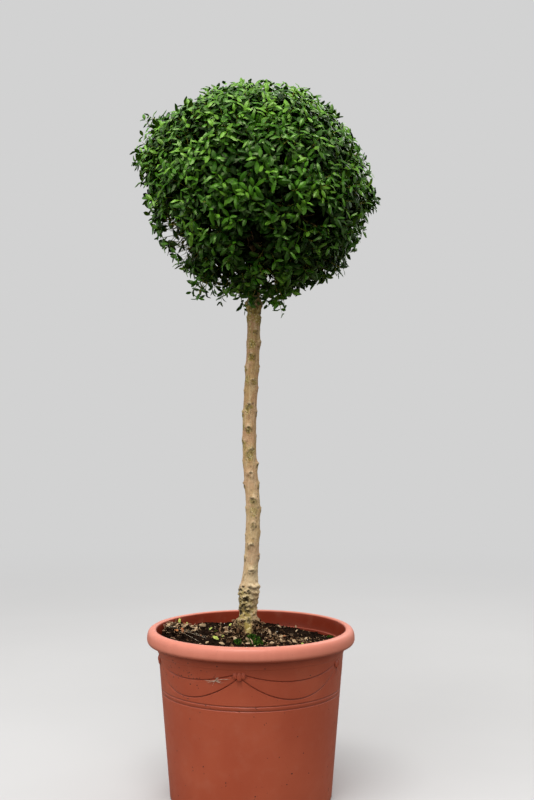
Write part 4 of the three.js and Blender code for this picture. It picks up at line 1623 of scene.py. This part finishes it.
@dataclass
class Crown:
    """The clipped ball: boughs, twigs and leaves in nine masses round the leader."""

    stem: Stem
    ball: Ball = field(default_factory=Ball)
    tiers: tuple[Tier, ...] = (
        Tier("crown_top", 1, 0, 0),
        Tier("crown_upper", 4, 64, 22, 1072, 11, 5),
        Tier("crown_lower", 4, 120, 67, 1022, 10, 5.4),
    )
    bough_tip_share: float = 0.35
    bough_tip_radius: float = 3.4
    bough_bow: float = 0.14
    stem_share: float = 0.5
    fork_share: float = 0.55
    twigs: int = 44
    sprigs: int = 91
    branchlets: int = 460
    inner_shoots: int = 760
    shoots: int = 2150
    leaf_length: float = 24.5
    internode: float = 9.0
    hollows: tuple = (
        (-0.02, -0.85, 0.53, 0.07), (-0.54, -0.78, 0.32, 0.08), (0.23, -0.96, 0.13, 0.09),
        (0.5, -0.78, -0.36, 0.12), (0.37, -0.78, -0.5, 0.09), (0.01, -0.78, -0.62, 0.17),
        (-0.46, -0.78, -0.38, 0.09), (-0.12, -0.99, 0.02, 0.06), (0.62, -0.62, 0.46, 0.07),
        (-0.6, 0.7, 0.3, 0.1), (0.1, 0.95, -0.2, 0.12), (0.55, 0.75, 0.1, 0.08),
        (-0.3, 0.8, -0.55, 0.15), (0.9, 0.3, -0.4, 0.1), (-0.92, 0.3, 0.1, 0.09),
    )
    windows: tuple = (
        (-158, 1106, 16, 0.88), (-150, 1086, 19, 0.88), (-137, 1062, 22, 0.88), (-122, 1043, 17, 0.88),
        (-86, 1096, 9, 0.85), (-68, 1095, 11, 0.85), (-56, 994, 17, 0.85), (-81, 985, 14, 0.8),
        (-100, 990, 10, 0.75), (39, 996, 13, 0.95), (83, 1008, 11, 0.9), (104, 1022, 9, 0.85),
        (143, 1060, 10, 0.9), (132, 1108, 9, 0.9), (213, 1153, 10, 0.75), (-12, 1035, 9, 0.9),
        (-66, 1028, 8, 0.85), (150, 1018, 12, 0.7), (120, 1044, 7, 0.85), (-30, 1012, 7, 0.85),
    )
    hanging: tuple = (
        (-0.05, -0.15, -0.985, 8), (-0.22, -0.2, -0.95, 9), (-0.5, -0.2, -0.84, 8),
        (0.3, 0.2, -0.93, 6), (0.55, -0.1, -0.83, 8), (-0.72, 0.0, 0.69, 4), (-0.97, -0.1, 0.05, 8),
        (-0.93, -0.1, 0.33, 10),
    )
    nudge: float = 0.9
    window_focus: Point = (31.0, 2277.0, 764.0)
    shears: float = 7.0
    spreads: tuple = (50, 62, 69, 73, 77)
    sizes: tuple = (0.74, 0.96, 1.0, 1.0, 0.95)
    bough_algae: float = 0.6
    stragglers: tuple = (
        (-195, -20, 1308), (-203, -24, 1300), (-189, -10, 1296), (-207, -20, 1270), (-212, -10, 1262),
        (-219, -25, 1240), (60, -30, 928), (66, -34, 944), (48, -26, 946), (-3, -33, 946),
        (14, -31, 952), (3, -36, 960), (-99, -60, 956), (-86, -52, 962), (-112, -50, 968),
        (176, -40, 1012), (166, -30, 1004), (-60, 50, 958), (30, 70, 954), (-14, 44, 944),
    )
    seed: int = 21
    strays: tuple = (
        (-0.97, -0.1, 0.2, 21), (-0.84, -0.05, 0.54, 12), (0.99, -0.1, -0.09, 14),
        (0.21, -0.1, -0.97, 28), (-0.43, -0.15, -0.89, 17), (0.72, 0.1, -0.69, 8),
    )
    masses: list[Mass] = field(init=False)
    rng: Random = field(init=False)

    def __post_init__(self) -> None:
        """Lay out the masses."""
        self.rng = np.random.default_rng(self.seed)
        self.masses = [mass for tier in self.tiers for mass in self.masses_of(tier)]

    def masses_of(self, tier: Tier) -> list[Mass]:
        """The masses of one tier.

        Args:
            tier: The tier.

        Returns:
            Its masses, in order round the stem.
        """
        leader = np.array(self.stem.line[-1], dtype=float)
        made = []
        for index in range(tier.count):
            axis = aim(tier.polar, tier.turn + index * 360 / tier.count)
            if not tier.root_radius:
                made.append(Mass(tier.name, axis, leader, axis))
                continue
            foot = self.stem.line[0][2]
            share = (tier.first_height + tier.rise * index - foot) / (leader[2] - foot)
            root = self.stem.at_share(share)
            tip = self.ball.at(axis, self.bough_tip_share)
            level = unit(axis * (1, 1, 0))
            bend = (root + tip) / 2 + level * self.bough_bow * norm(tip - root)
            name = f"{tier.name}_{index + 1}"
            bough = np.array([root, bend, tip])
            made.append(Mass(name, axis, tip, unit(tip - bend), bough, tier.root_radius))
        return made

    def spread_evenly(self, count: int, random: Callable[[], float]) -> Array:
        """Directions spread evenly over the ball, each moved a little.

        Args:
            count: How many.
            random: Gives the next number from 0 to 1.

        Returns:
            The directions.
        """
        i = np.arange(count)
        z = 1 - (2 * i + 1) / count
        level = np.sqrt(1 - z * z)
        even = np.stack([level * np.cos(i * GOLDEN_ANGLE), level * np.sin(i * GOLDEN_ANGLE), z], 1)
        moved = np.array([random() - 0.5 for _ in range(3 * count)]).reshape(-1, 3)
        return unit(even + moved * self.nudge / math.sqrt(count))

    def owner_of(self, axes: Array) -> Array:
        """The number of the mass whose cell holds each direction."""
        return np.argmax(axes @ np.array([mass.axis for mass in self.masses]).T, axis=1)

    def parents(self, children: Array, owner: Array, level: Growth) -> Array:
        """For each child the nearest twig of its own mass in the level before."""
        near = children @ level.axes.T - 4 * (owner[:, None] != level.owner[None])
        return np.argmax(near, axis=1)

    def clear_of_limbs(self, lines: Array, gap: float = 3.0) -> Array:
        """Which lines keep clear of the leader once they have left it.

        Args:
            lines: Control points of twigs, shape (twigs, 3, 3).
            gap: How far they keep off.

        Returns:
            True for each one that does.
        """
        points = bezier(lines, np.linspace(0, 1, 9))
        flat = points.reshape(-1, 3)
        away = norm(flat[:, :2] - self.stem.centre(flat[:, 2]), axis=1)
        low, high = self.stem.crown_start - 10, self.stem.line[-1][2] + gap
        beside = (flat[:, 2] > low) & (flat[:, 2] < high)
        hit = beside & (away < self.stem.leader_radius(flat[:, 2]) + gap)
        return ~hit.reshape(points.shape[:2])[:, 2:].any(axis=1)

    def trunk_levels(self) -> tuple[Growth, Growth, Growth]:
        """The masses' stems, their twigs and their sprigs, by the rule of the solids.

        Returns:
            The three levels.
        """
        random = Seeded(self.seed)
        axes = np.array([mass.axis for mass in self.masses])
        ends = self.ball.at(axes, self.stem_share)
        starts = np.array([mass.carried + GAP * mass.heading for mass in self.masses])
        headings = np.array([mass.heading for mass in self.masses])
        reach = norm(ends - starts, axis=1, keepdims=True)
        bends = starts + headings * reach / 2
        own = np.arange(len(self.masses))
        stems = Growth(axes, own, np.stack([starts, bends, ends], axis=1))
        axes = self.spread_evenly(self.twigs, random)
        owner = self.owner_of(axes)
        forks = self.ball.at(axes, self.fork_share)
        twigs = Growth(axes, owner, np.stack([ends[owner], (ends[owner] + forks) / 2, forks], 1))
        twigs = twigs.take(self.clear_of_limbs(twigs.lines))
        axes = self.spread_evenly(self.sprigs, random)
        strays = np.array(self.strays)
        axes = np.concatenate([axes, unit(strays[:, :3])])
        extra = np.concatenate([np.zeros(self.sprigs), strays[:, 3]])
        owner = self.owner_of(axes)
        forks = twigs.lines[self.parents(axes, owner, twigs), 2]
        tips = self.ball.at(axes, 1 + (extra - 43) / self.ball.reach(axes))
        middle = (forks + tips) / 2 + self.rng.normal(size=forks.shape) * 4
        sprigs = Growth(axes, owner, np.stack([forks, middle, tips], axis=1))
        return stems, twigs, sprigs.take(self.clear_of_limbs(sprigs.lines))

    def fine_level(self, axes: Array, tips: Array, level: Growth, root: tuple) -> Growth:
        """Twigs that fork from the nearest ones of the level before and end at given tips.

        Args:
            axes: Their directions.
            tips: Their tips.
            level: The level before.
            root: Lowest and highest share of the parent's length where they fork.

        Returns:
            The new level.
        """
        owner = self.owner_of(axes)
        parent = self.parents(axes, owner, level)
        start, heading = follow(level.lines[parent], self.rng.uniform(*root, len(axes)))
        length = norm(tips - start, axis=1, keepdims=True)
        outward = unit(axes + 0.5 * UP)
        bend = 0.5 * (start + heading * 0.45 * length) + 0.5 * (tips - outward * 0.55 * length)
        made = Growth(axes, owner, np.stack([start, bend, tips], axis=1))
        return made.take(self.clear_of_limbs(made.lines, 5))

    def density(self, axes: Array, inner: bool) -> Array:
        """How much of the growth there is in directions.

        Args:
            axes: The directions.
            inner: Whether it is the growth deep inside, which has no hollows.

        Returns:
            Shares of the full growth, from 0 to 1.
        """
        there = 1 - 0.25 * smoothstep(-axes[:, 2], 0.4, 0.95)
        there -= 0.5 * smoothstep(-axes[:, 2], 0.8, 0.95)
        if not inner:
            for x, y, z, width in self.hollows:
                near = np.arccos(np.clip(axes @ unit(np.array([x, y, z])), -1, 1))
                there = np.minimum(there, smoothstep(near, 0.9 * width, 1.4 * width))
        return there

    def shoot_level(self, count: int, level: Growth, shares: tuple, root: tuple) -> Growth:
        """Leafy shoots spread over the ball, in tufts and hollows.

        Args:
            count: How many.
            level: The level that they fork from.
            shares: Shares of the reach of the shortest and the longest tips.
            root: Where on their parents they fork.

        Returns:
            The shoots.
        """
        axes = self.spread_evenly(count, self.rng.random)
        clumps = np.array([noise.noise(Vector(axis * 6.5)) for axis in axes])
        finer = np.array([noise.noise(Vector(axis * 15 + 7)) for axis in axes])
        loose = self.rng.normal(size=count) * 0.16
        depth = np.clip(0.42 - 0.9 * clumps - 0.5 * finer + loose, 0, 1)
        inner = shares[1] < 0.9
        keep = self.rng.random(count) < self.density(axes, inner) * (1 - 0.6 * (depth > 0.72))
        axes, depth = axes[keep], depth[keep]
        share = lerp(shares[1], shares[0], depth)
        tips = self.ball.at(axes, share) - unit(axes) * (5 if inner else 7)
        return self.fine_level(axes, tips, level, root)

    def stray_level(self, level: Growth) -> Growth:
        """The long shoots that the shears have missed, with shorter ones beside each.

        Args:
            level: The level that they fork from.

        Returns:
            The shoots.
        """
        strays = np.array(self.strays + self.hanging)
        beside = [9] * len(self.strays) + [3] * len(self.hanging)
        strays = np.repeat(strays, beside, axis=0)
        apart = self.rng.normal(size=(len(strays), 3)) * 0.07
        axes = unit(strays[:, :3] + apart)
        close = np.exp(-((norm(apart, axis=1) / 0.11) ** 2))
        extra = strays[:, 3] * close * self.rng.uniform(0.7, 1.05, len(strays))
        tips = self.ball.at(axes, 1 + (extra - 11) / self.ball.reach(axes))
        return self.fine_level(axes, tips, level, (0.6, 0.95))

    def straggling_level(self, level: Growth) -> Growth:
        """Thin shoots that stand out of the ball or hang from its underside."""
        tips = np.array(self.stragglers, dtype=float)
        return self.fine_level(unit(tips - self.ball.centre), tips, level, (0.7, 1.0))

    def model_leaf(self, width: float, droop: float, fold: float) -> Stock:
        """One leaf along +Y, a closed blade of 24 faces with its upper side to +Z.

        Args:
            width: Share of the usual width.
            droop: How far the tip bends down, in millimetres.
            fold: How far the margins bend down, in millimetres.

        Returns:
            The leaf as stock.
        """
        outline = ((0.0, 0.0), (0.2, 3.9), (0.47, 5.5), (0.78, 4.1), (1.0, 0.0))
        bpy.ops.mesh.primitive_grid_add(x_subdivisions=2, y_subdivisions=4, size=2 * MM)
        blade = bpy.context.object
        points = places(blade)
        row = np.rint((points[:, 1] + 1) * 2).astype(int)
        share = np.array([outline[r][0] for r in row])
        half = np.array([outline[r][1] for r in row]) * width
        stalk = 1.2
        arch = 2.2 * np.sin(math.pi * np.minimum(share * 1.15, 1))
        drop = arch - droop * share**2.2 - fold * np.abs(points[:, 0]) * (half > 0)
        along = stalk * (share > 0) + share * (self.leaf_length - stalk)
        points = np.stack([np.sign(np.round(points[:, 0], 3)) * half, along, drop], axis=1)
        move_to(blade, points)
        with editing(blade):
            bpy.ops.mesh.remove_doubles(threshold=2e-5)
            bpy.ops.mesh.select_all(action="SELECT")
            bpy.ops.mesh.duplicate()
            bpy.ops.mesh.flip_normals()
            bpy.ops.mesh.select_mode(type="VERT")
        under = np.array([vertex.select for vertex in blade.data.vertices])
        points = places(blade)
        inner = under & (np.abs(points[:, 0]) < 0.3) & (points[:, 1] > 1)
        inner &= points[:, 1] < self.leaf_length - 1
        points[inner, 2] -= 0.45
        move_to(blade, points)
        with editing(blade):
            bpy.ops.mesh.remove_doubles(threshold=1e-6)
        return Stock.from_object(blade)

    def depth(self, points: Array) -> tuple[Array, Array]:
        """How far points are from the ball's centre, and how far the ball reaches there."""
        outwards = points - self.ball.centre
        away = norm(outwards, axis=1)
        return away, self.ball.reach(outwards / away[:, None])

    def leaves_on(self, shoots: Growth, pairs: int, vigour: float, clipped: bool) -> dict[str, Array]:
        """The leaves of shoots: opposite pairs, each a quarter turn on from the one before.

        Args:
            shoots: The shoots.
            pairs: How many pairs each has.
            vigour: Share of the usual size.
            clipped: Whether the shears take what stands out of the ball.

        Returns:
            Roots, frames, owners and shoots of the leaves, and their order from the tip.
        """
        rng, count = self.rng, len(shoots.axes)
        length = norm(shoots.lines[:, 2] - shoots.lines[:, 1], axis=1)
        length += norm(shoots.lines[:, 1] - shoots.lines[:, 0], axis=1)
        twist = unit(np.cross(shoots.axes, rng.normal(size=(count, 3))))
        parts = {key: [] for key in ("root", "frame", "owner", "shoot", "order")}
        for pair in range(pairs):
            fromtip = pair * self.internode * rng.uniform(0.85, 1.15, count) * vigour + 0.5
            root, along = follow(shoots.lines, np.clip(1 - fromtip / length, 0, 1))
            side = unit(twist - along * np.sum(twist * along, axis=1, keepdims=True))
            if pair % 2:
                side = np.cross(along, side)
            for way in (1, -1):
                aside = unit(way * side + rng.normal(size=(count, 3)) * 0.16)
                spread = np.radians(rng.normal(self.spreads[min(pair, 4)], 9, count))[:, None]
                blade = unit(along * np.cos(spread) + aside * np.sin(spread))
                lean = rng.normal(size=(count, 3)) * 0.28
                sky = unit(0.75 * UP + 0.1 * shoots.axes + 0.9 * along + lean)
                across = unit(np.cross(blade, sky))
                upper = np.cross(across, blade)
                sizes = self.sizes[min(pair, 4)] * vigour * rng.uniform(0.8, 1.12, count)
                frames = np.stack([across, blade, upper], axis=1) * sizes[:, None, None]
                keep = (fromtip < length * 0.96) & (rng.random(count) > 0.04 + 0.03 * pair)
                keep &= self.open_windows(root + blade * 11)
                if clipped:
                    away, reach = self.depth(root + blade * sizes[:, None] * self.leaf_length)
                    keep &= away < reach + self.shears
                grown = (root, frames, shoots.owner, np.arange(count), np.full(count, pair))
                for key, values in zip(parts, grown):
                    parts[key].append(values[keep])
        return {key: np.concatenate(value) for key, value in parts.items()}

    def open_windows(self, middles: Array) -> Array:
        """Which leaves are left where gaps run through the foliage, rising to the back.

        Args:
            middles: The middles of the leaves.

        Returns:
            True for each leaf that stays.
        """
        left = np.ones(len(middles), dtype=bool)
        focus = self.window_focus
        shift = middles[:, 1] / focus[1]
        for x, z, radius, strength in self.windows:
            aside = middles[:, 0] - x - shift * (x - focus[0])
            above = middles[:, 2] - z - shift * (z - focus[2])
            inside = np.hypot(aside, above) < radius
            left &= ~(inside & (self.rng.random(len(middles)) < strength))
        return left

    def deal_tones(self, shoots: Growth, leaves: dict[str, Array], darker: int) -> Array:
        """The green of each leaf: one for its spray, lighter higher on the ball as painted light from above
        and darker deeper inside it as painted shade, and a fresher one at vigorous tips.

        Args:
            shoots: The shoots.
            leaves: Their leaves.
            darker: How many steps darker they all are, as painted shade.

        Returns:
            The number of each leaf's tone.
        """
        height = 0.5 + 0.5 * shoots.axes[:, 2]
        # Sprays higher on the ball get lighter tones: painted light from above.
        spray_and_top_light = 3.4 + 1.2 * height**2 + self.rng.normal(size=len(height)) * 0.75
        fresh = self.rng.random(len(height)) < 0.03 + 0.12 * height
        away, reach = self.depth(leaves["root"])
        # Leaves deeper under the ball's outline get darker tones: painted shade.
        tone = spray_and_top_light[leaves["shoot"]] - darker - 14 * np.clip(0.94 - away / reach, 0, 0.2)
        # The outermost pair is a little lighter, painted light, and fresh tips a fresher green.
        tone += (leaves["order"] == 0) * (0.4 + 1.5 * fresh[leaves["shoot"]])
        return np.clip(np.rint(tone), 0, len(Tone) - 1).astype(int)

    def build_boughs(self) -> None:
        """Model each bough from a column bent along its line."""
        for mass in self.masses:
            if mass.bough is None:
                continue
            body = column(16, 30, 0, 100, 4)
            points = places(body)
            share = np.clip(points[:, 2] / 100, 0, 1)
            angle = np.arctan2(points[:, 1], points[:, 0])
            wall = np.hypot(points[:, 0], points[:, 1]) > 1
            middle, heading = follow(mass.bough[None], share * 0.94 + 0.06)
            aside = unit(np.cross(heading, np.array([0.2, 0.3, 0.93])))
            across = np.cross(heading, aside)
            radius = lerp(mass.root_radius, self.bough_tip_radius, share)
            radius = radius + 2.2 * np.exp(-share * 100 / 9) + 0.35 * rough(middle + aside * 9, 9, 3)
            ring = aside * np.cos(angle)[:, None] + across * np.sin(angle)[:, None]
            move_to(body, middle + ring * (radius * wall)[:, None])
            face_outwards(body)
            mark_points(body, np.tile([0, self.bough_algae, 0, 1], (len(body.data.vertices), 1)))
            name = mass.name.replace("crown", "bough")
            finish_piece(body, name + "_bark", "bark", 60, [Bark("bough_bark")], [name])

    def grow(self) -> tuple[Growth, ...]:
        """Grow all levels of twigs and shoots.

        Returns:
            The stems, twigs, sprigs and branchlets, and the inner, outer, stray and straggling shoots.
        """
        stems, twigs, sprigs = self.trunk_levels()
        axes = self.spread_evenly(self.branchlets, self.rng.random)
        tips = self.ball.at(axes, self.rng.uniform(0.8, 0.88, len(axes)))
        branchlets = self.fine_level(axes, tips, sprigs, (0.15, 0.85))
        inner = self.shoot_level(self.inner_shoots, sprigs, (0.66, 0.86), (0.05, 0.6))
        outer = self.shoot_level(self.shoots, branchlets, (0.86, 1.01), (0.25, 0.95))
        stray = self.stray_level(branchlets)
        return stems, twigs, sprigs, branchlets, inner, outer, stray, self.straggling_level(branchlets)

    def join_wood(self, levels: Sequence[Growth]) -> list[list]:
        """Turn twigs and shoots into tubes.

        Args:
            levels: All levels, as grow gives them.

        Returns:
            The vertices, triangles and slots of the tubes of each mass.
        """
        steps = (8, 6, 7, 6, 4, 5, 6, 8)
        sides = (7, 6, 5, 4, 3, 3, 3, 3)
        radii = ((3.4, 2.6), (2.6, 2.4), (2.4, 1.3), (1.4, 0.9), (0.95, 0.5), (0.95, 0.45))
        radii += ((1.0, 0.45), (1.2, 0.65))
        wood = [[] for _ in self.masses]
        for level, count, around, ends, slot in zip(levels, steps, sides, radii, (0,) * 4 + (1,) * 4):
            for number, parts in enumerate(wood):
                own = level.take(level.owner == number)
                if len(own.axes):
                    lines = bezier(own.lines, np.linspace(0, 1, count))
                    thick = np.tile(np.linspace(*ends, count), (len(lines), 1))
                    points, faces = tubes(lines, thick, around)
                    parts.append((points, faces, np.full(len(faces), slot)))
        return wood

    def join_leaves(self, levels: Sequence[Growth]) -> list[list]:
        """Lay out the leaves of all shoots.

        Args:
            levels: The inner, outer, stray and straggling shoots.

        Returns:
            The vertices, triangles and slots of the leaves of each mass.
        """
        blades = [[] for _ in self.masses]
        shapes = ((0.94, 7.0, 2.2), (0.88, 10.5, 2.7), (1.0, 4.5, 1.9), (0.84, 8.5, 3.2))
        stocks = [self.model_leaf(*shape) for shape in shapes]
        # The inner shoots' tones are two steps darker: painted shade deep in the ball.
        kinds = ((4, 1, 2, True), (5, 1, 0, True), (6, 1, 0, False), (8, 0.8, 0, False))
        for shoots, (pairs, vigour, darker, clipped) in zip(levels, kinds):
            leaves = self.leaves_on(shoots, pairs, vigour, clipped)
            tones = self.deal_tones(shoots, leaves, darker)
            shape = self.rng.integers(len(stocks), size=len(tones))
            for number, parts in enumerate(blades):
                for kind, stock in enumerate(stocks):
                    own = (leaves["owner"] == number) & (shape == kind)
                    points, faces = stock.lay_out(leaves["root"][own], leaves["frame"][own])
                    upper = np.repeat(tones[own], len(stock.faces))
                    under = np.tile(stock.under, own.sum())
                    parts.append((points, faces, upper + len(Tone) * under))
        return blades

    def build_foliage(self) -> None:
        """Grow all twigs and leaves and join them by mass."""
        levels = self.grow()
        wood = self.join_wood(levels)
        blades = self.join_leaves(levels[4:])
        skins = [LeafSkin(tone, underside) for underside in (False, True) for tone in Tone]
        twig_bark = Mottled("twig_bark", (52, 42, 22), (84, 70, 38), 240, 0.0004, shine=0.1)
        shoot_skin = Mottled("shoot_skin", (104, 112, 34), (146, 140, 54), 240, 0.0002, 0.55, 0.15)
        for mass, woody, bladed in zip(self.masses, wood, blades):
            kinds = (("twigs", woody, "bark", 70, [twig_bark, shoot_skin]),)
            kinds += (("leaves", bladed, "foliage", 32, skins),)
            for kind, parts, slot, smooth, finishes in kinds:
                name = mass.name.replace("crown", kind)
                finish_piece(mesh_from(*gather(parts)), name, slot, smooth, finishes, [mass.name])


# ---- stage ----


@dataclass
class Stage:
    """A plain pale floor, soft studio light and the camera."""

    floor_radius: float = 9.0
    backdrop: tuple = (210, 210, 210)
    sky: Point = (0.14, 0.6, 1.0)
    camera_at: tuple = (0.031, -2.277, 0.764)
    lens: float = 52.97

    def lay_floor(self) -> None:
        """A large pale disc under the pot."""
        bpy.ops.mesh.primitive_circle_add(vertices=96, radius=self.floor_radius, fill_type="NGON")
        floor = bpy.context.object
        floor.name = "studio_floor"
        n = Nodes("floor")
        near = n.blend(n.noise(2, 3), paint(188, 187, 186), paint(194, 193, 192))
        seen = n.add("LightPath").outputs["Is Camera Ray"]
        near = n.blend(seen, paint(120, 112, 104), near)
        far = n.between(n.add("VectorMath", {0: n.here}, operation="LENGTH").outputs["Value"], 0.9, 4)
        colour = n.blend(far, near, (0, 0, 0, 1))
        roughness = n.plus(n.times(n.noise(5, 2), 0.1), 0.85)
        n.shader.inputs["Emission Color"].default_value = paint(*self.backdrop)
        n.tree.links.new(n.times(far, seen), n.shader.inputs["Emission Strength"])
        floor.data.materials.append(n.dress(colour, roughness, 0))

    def light(self) -> None:
        """A wide soft light above the front and two weak ones aside."""
        lights = (
            ("key", (-0.4, -1.5, 3.4), (0.0, -0.1, 0.9), 2.2, 95),
            ("side", (-2.6, -1.6, 1.5), (0.0, 0.0, 0.7), 1.6, 12),
            ("back", (1.4, 2.4, 2.8), (0.0, 0.0, 1.1), 1.8, 26),
        )
        for name, at, target, size, power in lights:
            data = bpy.data.lights.new(name, "AREA")
            data.shape, data.size, data.energy = "DISK", size, power
            lamp = bpy.data.objects.new(name, data)
            lamp.location = at
            lamp.rotation_euler = (Vector(target) - Vector(at)).to_track_quat("-Z", "Y").to_euler()
            bpy.context.scene.collection.objects.link(lamp)

    def light_sky(self) -> None:
        """A sky that is bright overhead, with the plain backdrop before the camera."""
        world = bpy.data.worlds.new("studio")
        bpy.context.scene.world = world
        sky = Tree(world)
        height = sky.add("SeparateXYZ", {0: sky.add("TexCoord").outputs["Generated"]}).outputs["Z"]
        lifted = sky.add("Math", {0: height, 1: 0.5, 2: 0.5}, operation="MULTIPLY_ADD").outputs[0]
        ramp = sky.add("ValToRGB", {0: lifted})
        ramp.color_ramp.elements.new(0.5)
        for mark, place, bright in zip(ramp.color_ramp.elements, (0.35, 0.5, 0.95), self.sky):
            mark.position, mark.color = place, (bright, bright, bright, 1)
        fill = sky.add("Background", {"Color": (1, 1, 1, 1), "Strength": ramp.outputs["Color"]})
        shown = sky.tree.nodes["Background"]
        shown.inputs["Color"].default_value = paint(*self.backdrop)
        seen = sky.add("LightPath").outputs["Is Camera Ray"]
        mix = sky.add("MixShader", {0: seen, 1: fill.outputs[0], 2: shown.outputs[0]})
        sky.tree.links.new(mix.outputs[0], sky.tree.nodes["World Output"].inputs[0])

    def set_camera(self) -> None:
        """A level camera before the plant."""
        data = bpy.data.cameras.new("camera")
        data.lens, data.sensor_width = self.lens, 36
        camera = bpy.data.objects.new("camera", data)
        camera.location = self.camera_at
        camera.rotation_euler = (math.pi / 2, 0, 0)
        bpy.context.scene.collection.objects.link(camera)
        bpy.context.scene.camera = camera

    def build(self) -> None:
        """Set the whole stage."""
        bpy.context.scene.view_settings.view_transform = "Standard"
        self.lay_floor()
        self.light()
        self.light_sky()
        self.set_camera()


def main() -> None:
    """Build the whole plant in order."""
    logging.basicConfig(level=logging.INFO, format="%(message)s")
    Stage().build()
    pot = Pot()
    pot.build()
    soil = Soil(pot)
    soil.build()
    stem = Stem()
    stem.build()
    crown = Crown(stem)
    Litter(soil, stem, crown.model_leaf(1.0, 3.0, 1.2)).build()
    crown.build_boughs()
    crown.build_foliage()


if __name__ == "__main__":
    main()
